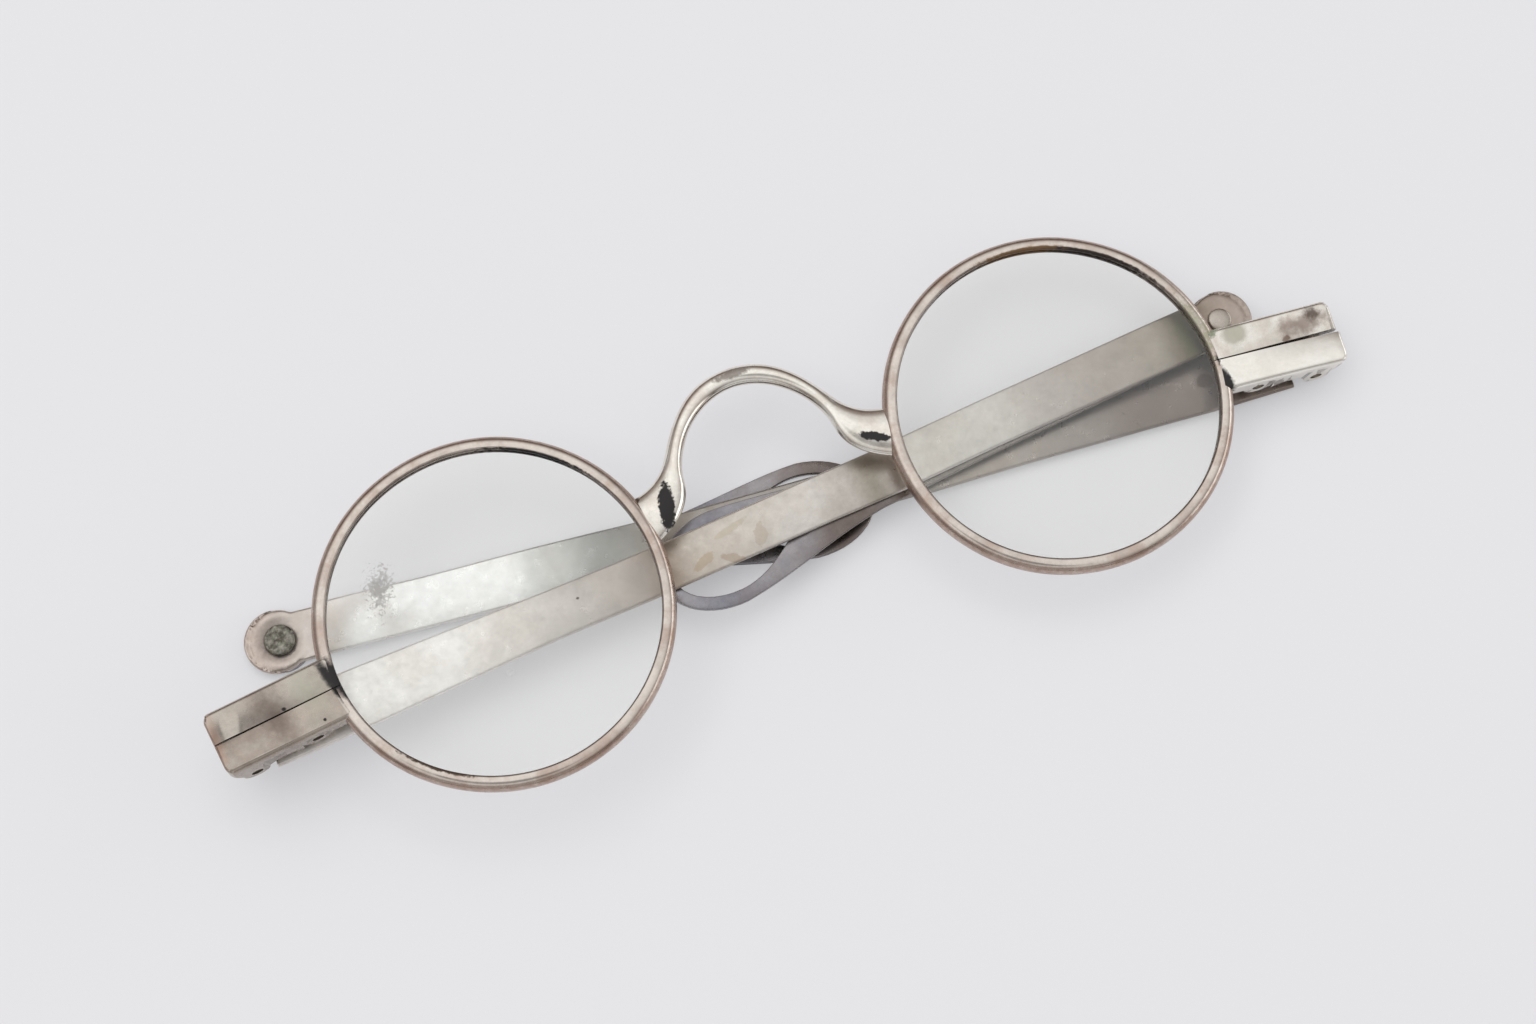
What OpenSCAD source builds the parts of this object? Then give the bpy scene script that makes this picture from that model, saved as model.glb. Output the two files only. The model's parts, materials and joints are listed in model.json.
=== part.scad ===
// Spectacles with round eyes, a C bridge and turn-pin temples: each temple is a flat strap hinged at
// an endpiece, with a second strap, the extension, that turns on a rivet at its end and carries a
// teardrop loop. The pose is folded: both temples lie behind the front, extensions folded back, and
// the whole rests on the rear extension with the front facing up.
// Left and right are as seen from the front: +X is right, +Y is the bridge side, +Z is up.

/* [Eyes] */
// Distance between the lens centres
lens_spacing = 55.8; // [52:0.1:64]
// Outer diameter of each eye wire
rim_d = 33.0; // [30:0.1:34]
// Width of the eye wire, seen from the front
rim_w = 1.35; // [1.15:0.05:1.8]
// Depth of the eye wire, front to back
rim_depth = 1.9; // [1.75:0.05:2.2]
// Radius that rounds the outer corners of the eye wire
rim_round = 0.8; // [0.3:0.05:0.9]
// Radius that rounds its inner corners
rim_soft = 0.25; // [0.1:0.05:0.3]
// Depth of the groove that holds the lens
groove_depth = 0.4; // [0.2:0.05:0.6]
// Thickness of the lens at its edge
lens_edge = 0.9; // [0.6:0.05:1.1]
// Thickness of the lens at its centre
lens_centre = 2.0; // [1.2:0.05:2.4]
// Gap between the lens edge and its groove
lens_gap = 0.04; // [0.02:0.01:0.1]

/* [Bridge] */
// Height of the arch's outer edge over the lens centres
bridge_top = 14.15; // [11:0.05:17]
// Width of the bridge wire at the top of the arch
bridge_w = 1.85; // [1.4:0.05:2.4]
// Thickness of the bridge wire, front to back
bridge_t = 1.6; // [1.2:0.05:1.85]
// Clear width inside the arch
nose_w = 14.9; // [12:0.1:17]
// Height of each foot where it is soldered to its eye wire
foot_h = 4.9; // [3.5:0.1:6.5]
// Height of the middle of each foot over the lens centres
foot_y = 2.85; // [1:0.05:5]

/* [Endpieces] */
// Angle by which the endpieces droop below the line of the lens centres
droop = 6; // [0:0.5:12]
// Distance from the eye wire to the endpiece's outer end
end_out = 11.0; // [10.8:0.1:13]
// Height of the endpiece, top edge to bottom edge
end_h = 6.1; // [5.6:0.1:7.5]
// Thickness of the front plate
plate_t = 1.0; // [0.8:0.05:1.2]
// Thickness of the upper and lower walls behind the plate
wall_t = 1.0; // [0.8:0.05:1.3]
// Distance from the eye wire to the closing screw
lug_out = 2.55; // [2.3:0.05:3.1]
// Distance from the eye wire to the hinge screw
hinge_out = 8.7; // [8.3:0.05:8.9]
// Depth of the hinge screw's axis behind the front face
hinge_z = 3.3; // [3.2:0.05:3.5]
// Depth of the closing screw's axis behind the front face
lug_z = 1.9; // [1.7:0.05:2.1]
// Half width of the solid lug round the closing screw
lug_r = 1.5; // [1.3:0.05:1.6]
// Depth of the lug's back behind the front face
lug_back = 3.1; // [3:0.05:3.3]
// Depth of the arch's top between the lug and the hinge lobe
arch_z = 2.4; // [2:0.05:2.6]
// Radius of that arch
arch_r = 2.4; // [2:0.05:2.8]
// Radius of the wall lobes and of the knuckle round the hinge screw
knuckle_r = 1.25; // [1.15:0.05:1.4]
// Radius that rounds the endpiece's front edges and outer corners
end_round = 0.45; // [0.2:0.05:0.7]
// Width of the slit between the two halves and through the eye wire
slit = 0.1; // [0.05:0.01:0.2]

/* [Screws] */
// Radius of the screws' shanks
screw_r = 0.52; // [0.4:0.02:0.6]
// Radius of the screws' heads
screw_head_r = 0.85; // [0.7:0.05:1.0]
// Height of the screws' heads
screw_head_h = 0.5; // [0.3:0.05:0.6]
// Depth of a head's top and of a tail's end below the wall they sit in
screw_sunk = 0.3; // [0.1:0.05:0.35]
// Width of the slot in a head
slot_w = 0.22; // [0.15:0.01:0.35]

/* [Temples] */
// Distance by which the left temple's turn pin stops short of the right hinge screw
left_pin_short = 6.5; // [5.5:0.1:11]
// Distance by which the right temple's turn pin stops short of the left hinge screw
right_pin_short = 5.1; // [4:0.1:11]
// Width of a strap at its root behind the hinge
strap_w_root = 6.0; // [5:0.1:6.1]
// Length over which the root tapers
strap_taper = 36.0; // [20:0.5:50]
// Width of a strap where the taper ends
strap_w = 4.5; // [4:0.1:5]
// Width of a strap in front of its turn pin
strap_w_pin = 4.9; // [4.2:0.1:5.4]
// Edgewise bow of the left strap at mid length
left_bow = 0.5; // [0:0.05:1]
// Edgewise bow of the right strap at mid length
right_bow = 1.0; // [0:0.05:1.5]
// Radius of the left strap's round end
left_disc_r = 2.85; // [2.7:0.05:3.1]
// Radius of the right strap's round end
right_disc_r = 3.05; // [2.7:0.05:3.2]
// Distance by which the round end's centre lies past the pin
disc_out = 0.35; // [0:0.05:0.5]
// Thickness of a strap
strap_t = 0.65; // [0.5:0.05:0.7]
// Distance from the hinge screw's axis to the strap's face
strap_off = 1.45; // [1.42:0.01:1.6]
// Length of the strap past the hinge screw, which stops the opened temple at the front plate
strap_heel = 2.05; // [1.6:0.05:2.1]
// Distance from the knuckle's round face to where the strap widens to its root
root_step = 0.65; // [0.5:0.05:0.8]
// Length of the block behind the knuckle that is soldered to the strap
block_len = 0.95; // [0.7:0.05:1.2]
// Angle at which the left strap leaves its knuckle
left_set = 2.9; // [1:0.1:4]
// Angle at which the right strap leaves its knuckle
right_set = 0.7; // [0:0.1:2]

/* [Extensions] */
// Distance from the left turn pin to its loop's end
left_ext_len = 59.0; // [50:0.5:64]
// Distance from the right turn pin to its loop's end
right_ext_len = 57.3; // [50:0.1:64]
// Width of the extension
ext_w = 4.4; // [3.8:0.1:5]
// Radius of the extension's round end
ext_disc_r = 2.9; // [2.6:0.05:3.0]
// Thickness of the extension
ext_t = 0.55; // [0.45:0.05:0.6]
// Length of the widening from strap to loop
flare_len = 15.5; // [12:0.5:18]
// Width of the loop
loop_w = 9.4; // [8:0.1:11]
// Length of the loop's round end, from its widest place
loop_nose = 6.5; // [5:0.1:8]
// Width of the loop's arms
loop_arm = 1.25; // [1:0.05:1.6]
// Length of the loop's eye from its point to its widest place
eye_tail = 7.5; // [6:0.1:9]
// Angle between the left extension and its strap, folded
left_ext_angle = 1.8; // [0:0.1:3]
// Angle between the right extension and its strap, folded
right_ext_angle = 1.75; // [0:0.05:3]

/* [Turn pins] */
// Radius of the pins' shanks
pin_r = 0.8; // [0.6:0.05:1.0]
// Radius of the left pin's head
left_head_r = 1.1; // [1.05:0.05:1.5]
// Radius of the right pin's head
right_head_r = 1.45; // [1.1:0.05:1.6]
// Height of the pins' heads
pin_head_h = 0.4; // [0.3:0.05:0.5]
// Radius of the pins' riveted tails
pin_tail_r = 1.2; // [1.05:0.05:1.4]
// Depth of the countersink that holds a tail
pin_tail_h = 0.35; // [0.2:0.05:0.4]

/* [Clearances] */
// Radial clearance of screws and pins in their holes
run_gap = 0.04; // [0.02:0.01:0.08]
// Gap at each side of the knuckle, and at its round faces
knuckle_gap = 0.05; // [0.03:0.01:0.1]
// Gap between a strap and the extension on it
turn_gap = 0.08; // [0.04:0.01:0.15]
// Gap between the right lug's back and the strap that passes behind it
lug_gap = 0.1; // [0.05:0.01:0.2]
// Gap between the front temple's stack and the rear strap, at the front temple's pin
layer_gap = 0.55; // [0.4:0.01:0.8]
// Gap between soldered faces
solder_gap = 0.01; // [0.005:0.005:0.02]

/* [Hidden] */
$fn = 96;
silver = [0.72, 0.70, 0.66];
dark_silver = [0.55, 0.52, 0.48];
glass = [0.90, 0.94, 0.95, 0.35];
LEFT = -1;
RIGHT = 1;
rim_r = rim_d / 2;
rim_in = rim_r - rim_w;
end_x = rim_r + end_out;
end_deep = hinge_z + knuckle_r + 1;
lug_x = rim_r + lug_out;
hinge_x = rim_r + hinge_out;
lens_r = rim_in + groove_depth - lens_gap;
knuckle_h = end_h - 2 * wall_t - 2 * knuckle_gap;
strap_face = hinge_z + strap_off;
pin_x = lens_spacing / 2 * cos(droop) + hinge_x;
left_strap_len = 2 * pin_x - left_pin_short;
right_strap_len = 2 * pin_x - right_pin_short;
stack_t = strap_t + turn_gap + ext_t;
// The front temple rises from its hinge until it just passes behind the opposite lug
left_fold = asin((strap_face - lug_back - lug_gap) / left_strap_len);
// The rear temple falls away from its hinge and clears the front temple's stack
right_fold = -atan((lug_back + lug_gap + stack_t + layer_gap - strap_face) / left_pin_short);
// The front lies tilted by the same angle, so that the rear straps are level
lie = -right_fold;
row_z = hinge_z * cos(lie) + pin_x * sin(lie) + strap_off + stack_t;
row_x = 0;
row_y = 0;

// A point of a cubic curve through p[0] and p[3]
function curve(p, t) = pow(1 - t, 3) * p[0] + 3 * t * pow(1 - t, 2) * p[1]
    + 3 * t * t * (1 - t) * p[2] + pow(t, 3) * p[3];
function smooth(t) = t * t * (3 - 2 * t);
function clamp01(t) = min(1, max(0, t));
function mirrored(p) = [-p[0], p[1]];

// Stands the front's own frame on the rest surface
module placed() {
    translate([row_x, row_y, row_z]) rotate(a = lie, v = [sin(droop), cos(droop), 0]) children();
}

// A side's frame: origin at the lens centre, X out along the endpiece, Z out of the front face
module side(s) {
    mirror([s < 0 ? 1 : 0, 0, 0]) translate([lens_spacing / 2, 0, 0]) rotate([0, 0, -droop]) children();
}

// A folded strap's frame: Y along the hinge screw, -X towards the turn pin
module folded(fold, set) {
    translate([hinge_x, 0, -hinge_z]) rotate([0, fold, 0]) rotate([0, 0, set]) children();
}

// The frame of an extension: origin on the turn pin at the strap's front face, X towards the loop
module turned(strap_len, angle) {
    translate([-strap_len, 0, -strap_off]) rotate([0, 0, -angle]) children();
}

// A cylinder along Y from y0 to y1
module y_rod(r, y0, y1) {
    translate([0, y1, 0]) rotate([90, 0, 0]) cylinder(r = r, h = y1 - y0);
}

// Eyes

// Section of the eye wire before it is grooved, with its outer side moved out by grow
module rim_blank(grow) {
    mid = rim_r + grow - rim_round;
    translate([rim_in + rim_soft, -rim_depth]) square([mid - rim_in - rim_soft, rim_depth]);
    translate([rim_in, rim_soft - rim_depth]) square([mid - rim_in, rim_depth - 2 * rim_soft]);
    translate([mid, rim_round - rim_depth]) square([rim_round, rim_depth - 2 * rim_round]);
    for (z = [-rim_round, rim_round - rim_depth]) intersection() {
        translate([mid, z]) circle(r = rim_round, $fn = 48);
        translate([mid, -rim_depth]) square([rim_round, rim_depth]);
    }
    for (z = [-rim_soft, rim_soft - rim_depth])
        translate([rim_in + rim_soft, z]) circle(r = rim_soft, $fn = 32);
}

module rim(s) {
    color(silver) placed() side(s) difference() {
        rotate_extrude($fn = 144) difference() {
            rim_blank(0);
            translate([rim_in - 1, -(rim_depth + lens_edge) / 2 - lens_gap])
                square([1 + groove_depth, lens_edge + 2 * lens_gap]);
        }
        translate([rim_in - 1, -slit / 2, -rim_depth - 1]) cube([rim_w + 2, slit, rim_depth + 2]);
    }
}

// The space a rim takes, for what is soldered to it
module rim_space() {
    rotate_extrude($fn = 144) {
        rim_blank(solder_gap);
        translate([0, -rim_depth - 1]) square([rim_in + rim_soft, rim_depth + 2]);
    }
}

module lens(s) {
    bulge = (lens_centre - lens_edge) / 2;
    bow = (lens_r * lens_r + bulge * bulge) / (2 * bulge);
    steps = 10;
    arc = [for (i = [0:steps]) let (x = lens_r * i / steps)
        [x, lens_edge / 2 + sqrt(bow * bow - x * x) - bow + bulge]];
    color(glass) placed() side(s) translate([0, 0, -rim_depth / 2]) rotate_extrude($fn = 144)
        polygon(concat(arc, [for (i = [steps:-1:0]) [arc[i][0], -arc[i][1]]]));
}

// Bridge

// Outer and inner edges of the right half of the bridge, from the top of the arch to the foot
foot_x = lens_spacing / 2 - rim_r + 0.9;
shoulder = [nose_w / 2 + bridge_w * 0.42, foot_y + foot_h / 2 + 3.0];
outer_a = [[0, bridge_top], [4.1, bridge_top], [shoulder[0] - 1.9, shoulder[1] + 3.1], shoulder];
outer_b = [shoulder, shoulder + [1.1, -1.8], [foot_x - 1.5, foot_y + foot_h / 2 + 0.2],
    [foot_x + 0.7, foot_y + foot_h / 2]];
waist = [nose_w / 2, foot_y + foot_h / 2];
inner_a = [[0, bridge_top - bridge_w], [3.9, bridge_top - bridge_w],
    [waist[0] - 0.3, waist[1] + 3.2], waist];
inner_b = [waist, waist + [0.3, -2.6], [foot_x - 2.2, foot_y - foot_h / 2 + 0.9],
    [foot_x + 0.2, foot_y - foot_h / 2]];
bridge_steps = 14;
bridge_sides = 16;

function bridge_edge(a, b) = concat([for (i = [0:bridge_steps - 1]) curve(a, i / bridge_steps)],
    [for (i = [0:bridge_steps]) curve(b, i / bridge_steps)]);

module bridge() {
    outer = bridge_edge(outer_a, outer_b);
    inner = bridge_edge(inner_a, inner_b);
    last = 2 * bridge_steps;
    rail_out = concat([for (i = [last:-1:1]) mirrored(outer[i])], outer);
    rail_in = concat([for (i = [last:-1:1]) mirrored(inner[i])], inner);
    n = len(rail_out);
    points = [for (i = [0:n - 1]) let (mid = (rail_out[i] + rail_in[i]) / 2, half = rail_out[i] - mid)
        for (k = [0:bridge_sides - 1]) let (a = 360 * k / bridge_sides)
            [mid[0] + half[0] * cos(a), mid[1] + half[1] * cos(a), -rim_depth / 2 + bridge_t / 2 * sin(a)]];
    faces = concat([[for (k = [0:bridge_sides - 1]) k]],
        [for (i = [0:n - 2]) for (k = [0:bridge_sides - 1]) let (m = (k + 1) % bridge_sides)
            each [[i * bridge_sides + k, (i + 1) * bridge_sides + m, i * bridge_sides + m],
                [i * bridge_sides + k, (i + 1) * bridge_sides + k, (i + 1) * bridge_sides + m]]],
        [[for (k = [bridge_sides - 1:-1:0]) (n - 1) * bridge_sides + k]]);
    color(silver) placed() difference() {
        polyhedron(points, faces, convexity = 6);
        for (s = [LEFT, RIGHT]) side(s) rim_space();
    }
}

// Endpieces

// Side outline of an endpiece: plate, lug, arch and hinge lobe, drawn as [X, Z]
module endpiece_outline() {
    lug_end = lug_x + lug_r;
    lobe_in = hinge_x - knuckle_r;
    lobe_out = hinge_x + knuckle_r;
    translate([rim_r - 1, -plate_t]) square([end_x - rim_r + 1, plate_t]);
    translate([rim_r - 1, -rim_depth]) square([lug_x - rim_r + 1, rim_depth]);
    translate([lug_x, -lug_back + lug_r]) circle(r = lug_r, $fn = 64);
    translate([lug_x - lug_r, -lug_back + lug_r]) square([2 * lug_r, lug_back - lug_r]);
    translate([hinge_x, -hinge_z]) circle(r = knuckle_r, $fn = 64);
    difference() {
        translate([lug_end - 0.5, -hinge_z]) square([end_x - lug_end + 0.5, hinge_z]);
        translate([lug_end - 1, -hinge_z - 0.1]) square([1, hinge_z - lug_back + lug_r + 0.1]);
        translate([lug_end - 1, -hinge_z - 0.1])
            square([(lobe_in - lug_end) / 2 + 1, hinge_z - lug_back + 0.1]);
        translate([(lug_end + lobe_in) / 2, -arch_z - arch_r]) circle(r = arch_r, $fn = 64);
        translate([end_x, -hinge_z]) circle(r = end_x - lobe_out, $fn = 64);
    }
}

// Front view of an endpiece, with rounded outer corners
module endpiece_front() {
    r = 2 * end_round;
    translate([0, -end_h / 2]) square([end_x - r, end_h]);
    translate([0, r - end_h / 2]) square([end_x, end_h - 2 * r]);
    for (y = [r - end_h / 2, end_h / 2 - r]) translate([end_x - r, y]) circle(r = r, $fn = 48);
}

// Section across an endpiece, with rounded front edges, drawn as [Y, Z]
module endpiece_section() {
    translate([-end_h / 2, -end_deep]) square([end_h, end_deep - end_round]);
    translate([end_round - end_h / 2, -end_deep]) square([end_h - 2 * end_round, end_deep]);
    for (y = [end_round - end_h / 2, end_h / 2 - end_round])
        translate([y, -end_round]) circle(r = end_round, $fn = 48);
}

// The hole for a screw that goes in from above: head seat, shank hole through both halves
module screw_hole() {
    y_rod(screw_r + run_gap, -end_h / 2 - 1, end_h / 2 + 1);
    y_rod(screw_head_r + run_gap, end_h / 2 - screw_sunk - screw_head_h, end_h / 2 + 1);
}

module endpiece_half(s, top) {
    color(silver) placed() side(s) difference() {
        intersection() {
            rotate([90, 0, 0]) linear_extrude(height = end_h, center = true) endpiece_outline();
            translate([0, 0, -end_deep]) linear_extrude(height = end_deep + 1) endpiece_front();
            rotate([90, 0, 90]) linear_extrude(height = end_x + 1) endpiece_section();
            translate([0, top ? slit / 2 : -slit / 2 - end_h, -end_deep])
                cube([end_x + 1, end_h, end_deep + 1]);
        }
        translate([lug_x + lug_r, wall_t - end_h / 2, -end_deep])
            cube([end_x, end_h - 2 * wall_t, end_deep - plate_t]);
        rim_space();
        translate([lug_x, 0, -lug_z]) screw_hole();
        translate([hinge_x, 0, -hinge_z]) screw_hole();
    }
}

// Screws

module screw() {
    top = end_h / 2 - screw_sunk;
    color(dark_silver) difference() {
        union() {
            y_rod(screw_r, screw_sunk - end_h / 2, top - screw_head_h / 2);
            y_rod(screw_head_r, top - screw_head_h, top);
        }
        translate([-slot_w / 2, top - screw_head_h / 2, -screw_head_r - 1])
            cube([slot_w, screw_head_h, 2 * screw_head_r + 2]);
    }
}

module closing_screw(s) {
    placed() side(s) translate([lug_x, 0, -lug_z]) screw();
}

module hinge_screw(s) {
    placed() side(s) translate([hinge_x, 0, -hinge_z]) screw();
}

// Temples

strap_root = knuckle_r + root_step;
strap_steps = 14;

// Half width and edgewise offset of a strap at a distance x from its hinge screw
function strap_half(x, strap_len) = x < strap_taper
    ? strap_w / 2 + (strap_w_root - strap_w) / 2 * (1 - smooth(clamp01(x / strap_taper)))
    : strap_w / 2 + (strap_w_pin - strap_w) / 2 * (x - strap_taper) / (strap_len - strap_taper);
function strap_drop(x, strap_len, bow) = -4 * bow * x / strap_len * (1 - x / strap_len);
function strap_edge(i, s, strap_len, bow) =
    let (x = strap_root + (strap_len - strap_root) * i / strap_steps)
    [-x, strap_drop(x, strap_len, bow) + s * strap_half(x, strap_len)];

module strap_outline(strap_len, bow, set, disc_r) {
    rotate([0, 0, -set]) translate([-strap_root, -knuckle_h / 2])
        square([strap_heel + strap_root, knuckle_h]);
    polygon(concat([for (i = [0:strap_steps]) strap_edge(i, 1, strap_len, bow)],
        [for (i = [strap_steps:-1:0]) strap_edge(i, -1, strap_len, bow)]));
    translate([-strap_len - disc_out, 0]) circle(r = disc_r);
}

module temple(s, fold, set, strap_len, bow, disc_r) {
    color(silver) placed() side(s) folded(fold, set) difference() {
        translate([0, 0, -strap_off - strap_t]) linear_extrude(height = strap_t)
            strap_outline(strap_len, bow, set, disc_r);
        translate([-strap_len, 0, -strap_off - 2 * strap_t])
            cylinder(r = pin_r + run_gap, h = 3 * strap_t);
    }
}

// Round eye between the walls, with a tail block soldered to the strap's face
module knuckle(s, fold) {
    tail = knuckle_r + block_len;
    face = -strap_off + solder_gap;
    color(silver) placed() side(s) translate([hinge_x, 0, -hinge_z]) rotate([0, fold, 0]) difference() {
        union() {
            y_rod(knuckle_r, -knuckle_h / 2, knuckle_h / 2);
            intersection() {
                translate([-tail, -knuckle_h / 2, face]) cube([tail, knuckle_h, -face]);
                translate([-block_len, 0, face + knuckle_r]) y_rod(knuckle_r, -knuckle_h / 2, knuckle_h / 2);
            }
            translate([-block_len, -knuckle_h / 2, face]) cube([block_len, knuckle_h, knuckle_r]);
        }
        y_rod(screw_r + run_gap, -knuckle_h, knuckle_h);
    }
}

// Turn pins and extensions

module turn_pin(s, fold, set, strap_len, head_r) {
    long = stack_t + pin_head_h;
    rise = pin_head_h * 0.45;
    color(dark_silver) placed() side(s) folded(fold, set) turned(strap_len, 0) rotate_extrude($fn = 64)
        polygon([[0, -stack_t], [pin_tail_r, -stack_t], [pin_r, pin_tail_h - stack_t], [pin_r, 0],
            [head_r, 0], [head_r, rise],
            for (a = [15:15:75]) [head_r - rise + rise * cos(a), rise + (pin_head_h - rise) * sin(a)],
            [head_r - rise, pin_head_h], [0, pin_head_h]]);
}

flare_steps = 20;
// Half width of an extension at a distance x from where it starts to widen
function flare(x) = let (t = clamp01(x / flare_len)) ext_w / 2 + (loop_w - ext_w) / 2 * (t + smooth(t)) / 2;
function flare_edge(i, s, widest) = let (x = flare_len * i / flare_steps)
    [widest - flare_len + x, s * flare(x)];
function loop_edge(widest) = concat([[0, -ext_w / 2]],
    [for (i = [0:flare_steps - 1]) flare_edge(i, -1, widest)],
    [for (a = [-90:7.5:90]) [widest + loop_nose * cos(a), loop_w / 2 * sin(a)]],
    [for (i = [flare_steps - 1:-1:0]) flare_edge(i, 1, widest)], [[0, ext_w / 2]]);
function eye_edge(widest) = let (half = loop_w / 2 - loop_arm)
    concat([for (i = [0:9]) [widest - eye_tail * (1 - i / 10), -half * sin(9 * i)]],
        [for (a = [-90:10:90]) [widest + (loop_nose - loop_arm) * cos(a), half * sin(a)]],
        [for (i = [9:-1:1]) [widest - eye_tail * (1 - i / 10), half * sin(9 * i)]]);

module extension(s, fold, set, strap_len, angle, ext_len) {
    widest = ext_len - loop_nose;
    sink_r = pin_tail_r + run_gap + (pin_tail_r - pin_r) * run_gap / pin_tail_h;
    color(silver) placed() side(s) folded(fold, set) turned(strap_len, angle)
        translate([0, 0, -stack_t]) difference() {
            linear_extrude(height = ext_t) {
                circle(r = ext_disc_r);
                polygon(loop_edge(widest));
            }
            translate([0, 0, -1]) linear_extrude(height = ext_t + 2) polygon(eye_edge(widest));
            translate([0, 0, -1]) cylinder(r = pin_r + run_gap, h = ext_t + 2);
            rotate_extrude($fn = 64) polygon([[0, -run_gap], [sink_r, -run_gap],
                [pin_r + run_gap, pin_tail_h], [0, pin_tail_h]]);
        }
}

module left_side_extension() {
    extension(LEFT, left_fold, left_set, left_strap_len, left_ext_angle, left_ext_len);
}

module right_side_extension() {
    extension(RIGHT, right_fold, right_set, right_strap_len, right_ext_angle, right_ext_len);
}

rim(LEFT);  // left_rim
rim(RIGHT);  // right_rim
lens(LEFT);  // left_lens
lens(RIGHT);  // right_lens
bridge();
endpiece_half(LEFT, true);  // left_endpiece_upper
endpiece_half(LEFT, false);  // left_endpiece_lower
endpiece_half(RIGHT, true);  // right_endpiece_upper
endpiece_half(RIGHT, false);  // right_endpiece_lower
closing_screw(LEFT);  // left_closing_screw
closing_screw(RIGHT);  // right_closing_screw
hinge_screw(LEFT);  // left_hinge_screw
hinge_screw(RIGHT);  // right_hinge_screw
temple(LEFT, left_fold, left_set, left_strap_len, left_bow, left_disc_r);  // left_temple
temple(RIGHT, right_fold, right_set, right_strap_len, right_bow, right_disc_r);  // right_temple
knuckle(LEFT, left_fold);  // left_knuckle
knuckle(RIGHT, right_fold);  // right_knuckle
turn_pin(LEFT, left_fold, left_set, left_strap_len, left_head_r);  // left_turn_pin
turn_pin(RIGHT, right_fold, right_set, right_strap_len, right_head_r);  // right_turn_pin
left_side_extension();  // left_extension
right_side_extension();  // right_extension
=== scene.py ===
"""Antique turn-pin spectacles in worn coin silver, folded and lying on a pale sheet.

Lengths are in millimetres in every dataclass and become metres where a mesh is written. Left and
right are the sides as seen from the front; the front's own frame has +X to the right, +Y to the
bridge and +Z out of the front face.
"""

import json
import logging
import math
from dataclasses import dataclass
from enum import Enum
from typing import Any, Callable, Optional, Sequence, Union

import bmesh
import bpy
from mathutils import Matrix, Vector, noise


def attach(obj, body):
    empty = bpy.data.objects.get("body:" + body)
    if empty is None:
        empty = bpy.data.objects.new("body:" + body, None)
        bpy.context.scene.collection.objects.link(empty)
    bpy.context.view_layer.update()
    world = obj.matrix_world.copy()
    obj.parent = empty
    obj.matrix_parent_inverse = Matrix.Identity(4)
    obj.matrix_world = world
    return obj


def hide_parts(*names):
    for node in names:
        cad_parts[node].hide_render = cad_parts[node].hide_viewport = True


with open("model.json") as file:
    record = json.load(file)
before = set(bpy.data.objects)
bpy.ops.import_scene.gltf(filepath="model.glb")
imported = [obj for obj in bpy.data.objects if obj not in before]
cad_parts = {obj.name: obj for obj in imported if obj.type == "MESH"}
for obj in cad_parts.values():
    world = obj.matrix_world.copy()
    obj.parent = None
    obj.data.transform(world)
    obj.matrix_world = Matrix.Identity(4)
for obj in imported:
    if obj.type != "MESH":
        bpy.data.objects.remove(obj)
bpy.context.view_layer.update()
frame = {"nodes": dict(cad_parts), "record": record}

LOG = logging.getLogger("spectacles")
MM = 0.001
# Fixes the unevenness of hand work, which would else change from run to run.
HAND_SEED = 1

Pair = tuple[float, float]
Triple = tuple[float, float, float]
Hues = tuple[tuple[float, str], ...]
Tree = bpy.types.NodeTree
Node = bpy.types.Node
Mesh = bpy.types.Mesh
Material = bpy.types.Material
Piece = bpy.types.Object
Mover = Callable[[Vector], Vector]
Wear = Callable[[Vector], float]

# Node types and settings that come back often.
MATHS, VECTOR, REMAP = "ShaderNodeMath", "ShaderNodeVectorMath", "ShaderNodeMapRange"
MIX, NOISE = "ShaderNodeMix", "ShaderNodeTexNoise"
TURN, JOIN, SPLIT = "ShaderNodeVectorRotate", "ShaderNodeCombineXYZ", "ShaderNodeSeparateXYZ"
RAMP, OUTPUT = "ShaderNodeValToRGB", "ShaderNodeOutputMaterial"
TIMES, SMOOTH = {"operation": "MULTIPLY"}, {"interpolation_type": "SMOOTHSTEP"}
HUE, AMOUNT = {"data_type": "RGBA"}, {"data_type": "FLOAT"}
# The ends between which most values of a noise lie.
NOISE_SPAN = (0.3, 0.7)
SOCKET_KINDS = {float: "NodeSocketFloat", int: "NodeSocketInt", type(None): "NodeSocketMaterial"}


class Side(Enum):
    """The two sides of the spectacles, as seen from the front."""

    LEFT = -1
    RIGHT = 1

    @property
    def word(self) -> str:
        """The side's name as it stands in node names."""
        return self.name.lower()


class Half(Enum):
    """The two halves of an endpiece."""

    UPPER = "upper"
    LOWER = "lower"


class Slot(Enum):
    """The record's material slots."""

    SILVER = "silver"
    PIN = "pin_silver"
    GLASS = "lens_glass"


class Shape(Enum):
    """The outlines that a stain or a patch of painted light can have."""

    SPOT = "spot"
    ARC = "arc"


def clamped(value: float) -> float:
    """Keeps a share between 0 and 1."""
    return min(1.0, max(0.0, value))


def linear(hex_colour: str) -> tuple[float, float, float, float]:
    """Turns an sRGB hex value into linear light.

    Args:
        hex_colour: Six hex digits, red first.

    Returns:
        Linear red, green and blue, and a full alpha.
    """
    parts = [int(hex_colour[i : i + 2], 16) / 255 for i in (0, 2, 4)]
    light = [c / 12.92 if c <= 0.04045 else ((c + 0.055) / 1.055) ** 2.4 for c in parts]
    return (light[0], light[1], light[2], 1.0)


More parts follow.
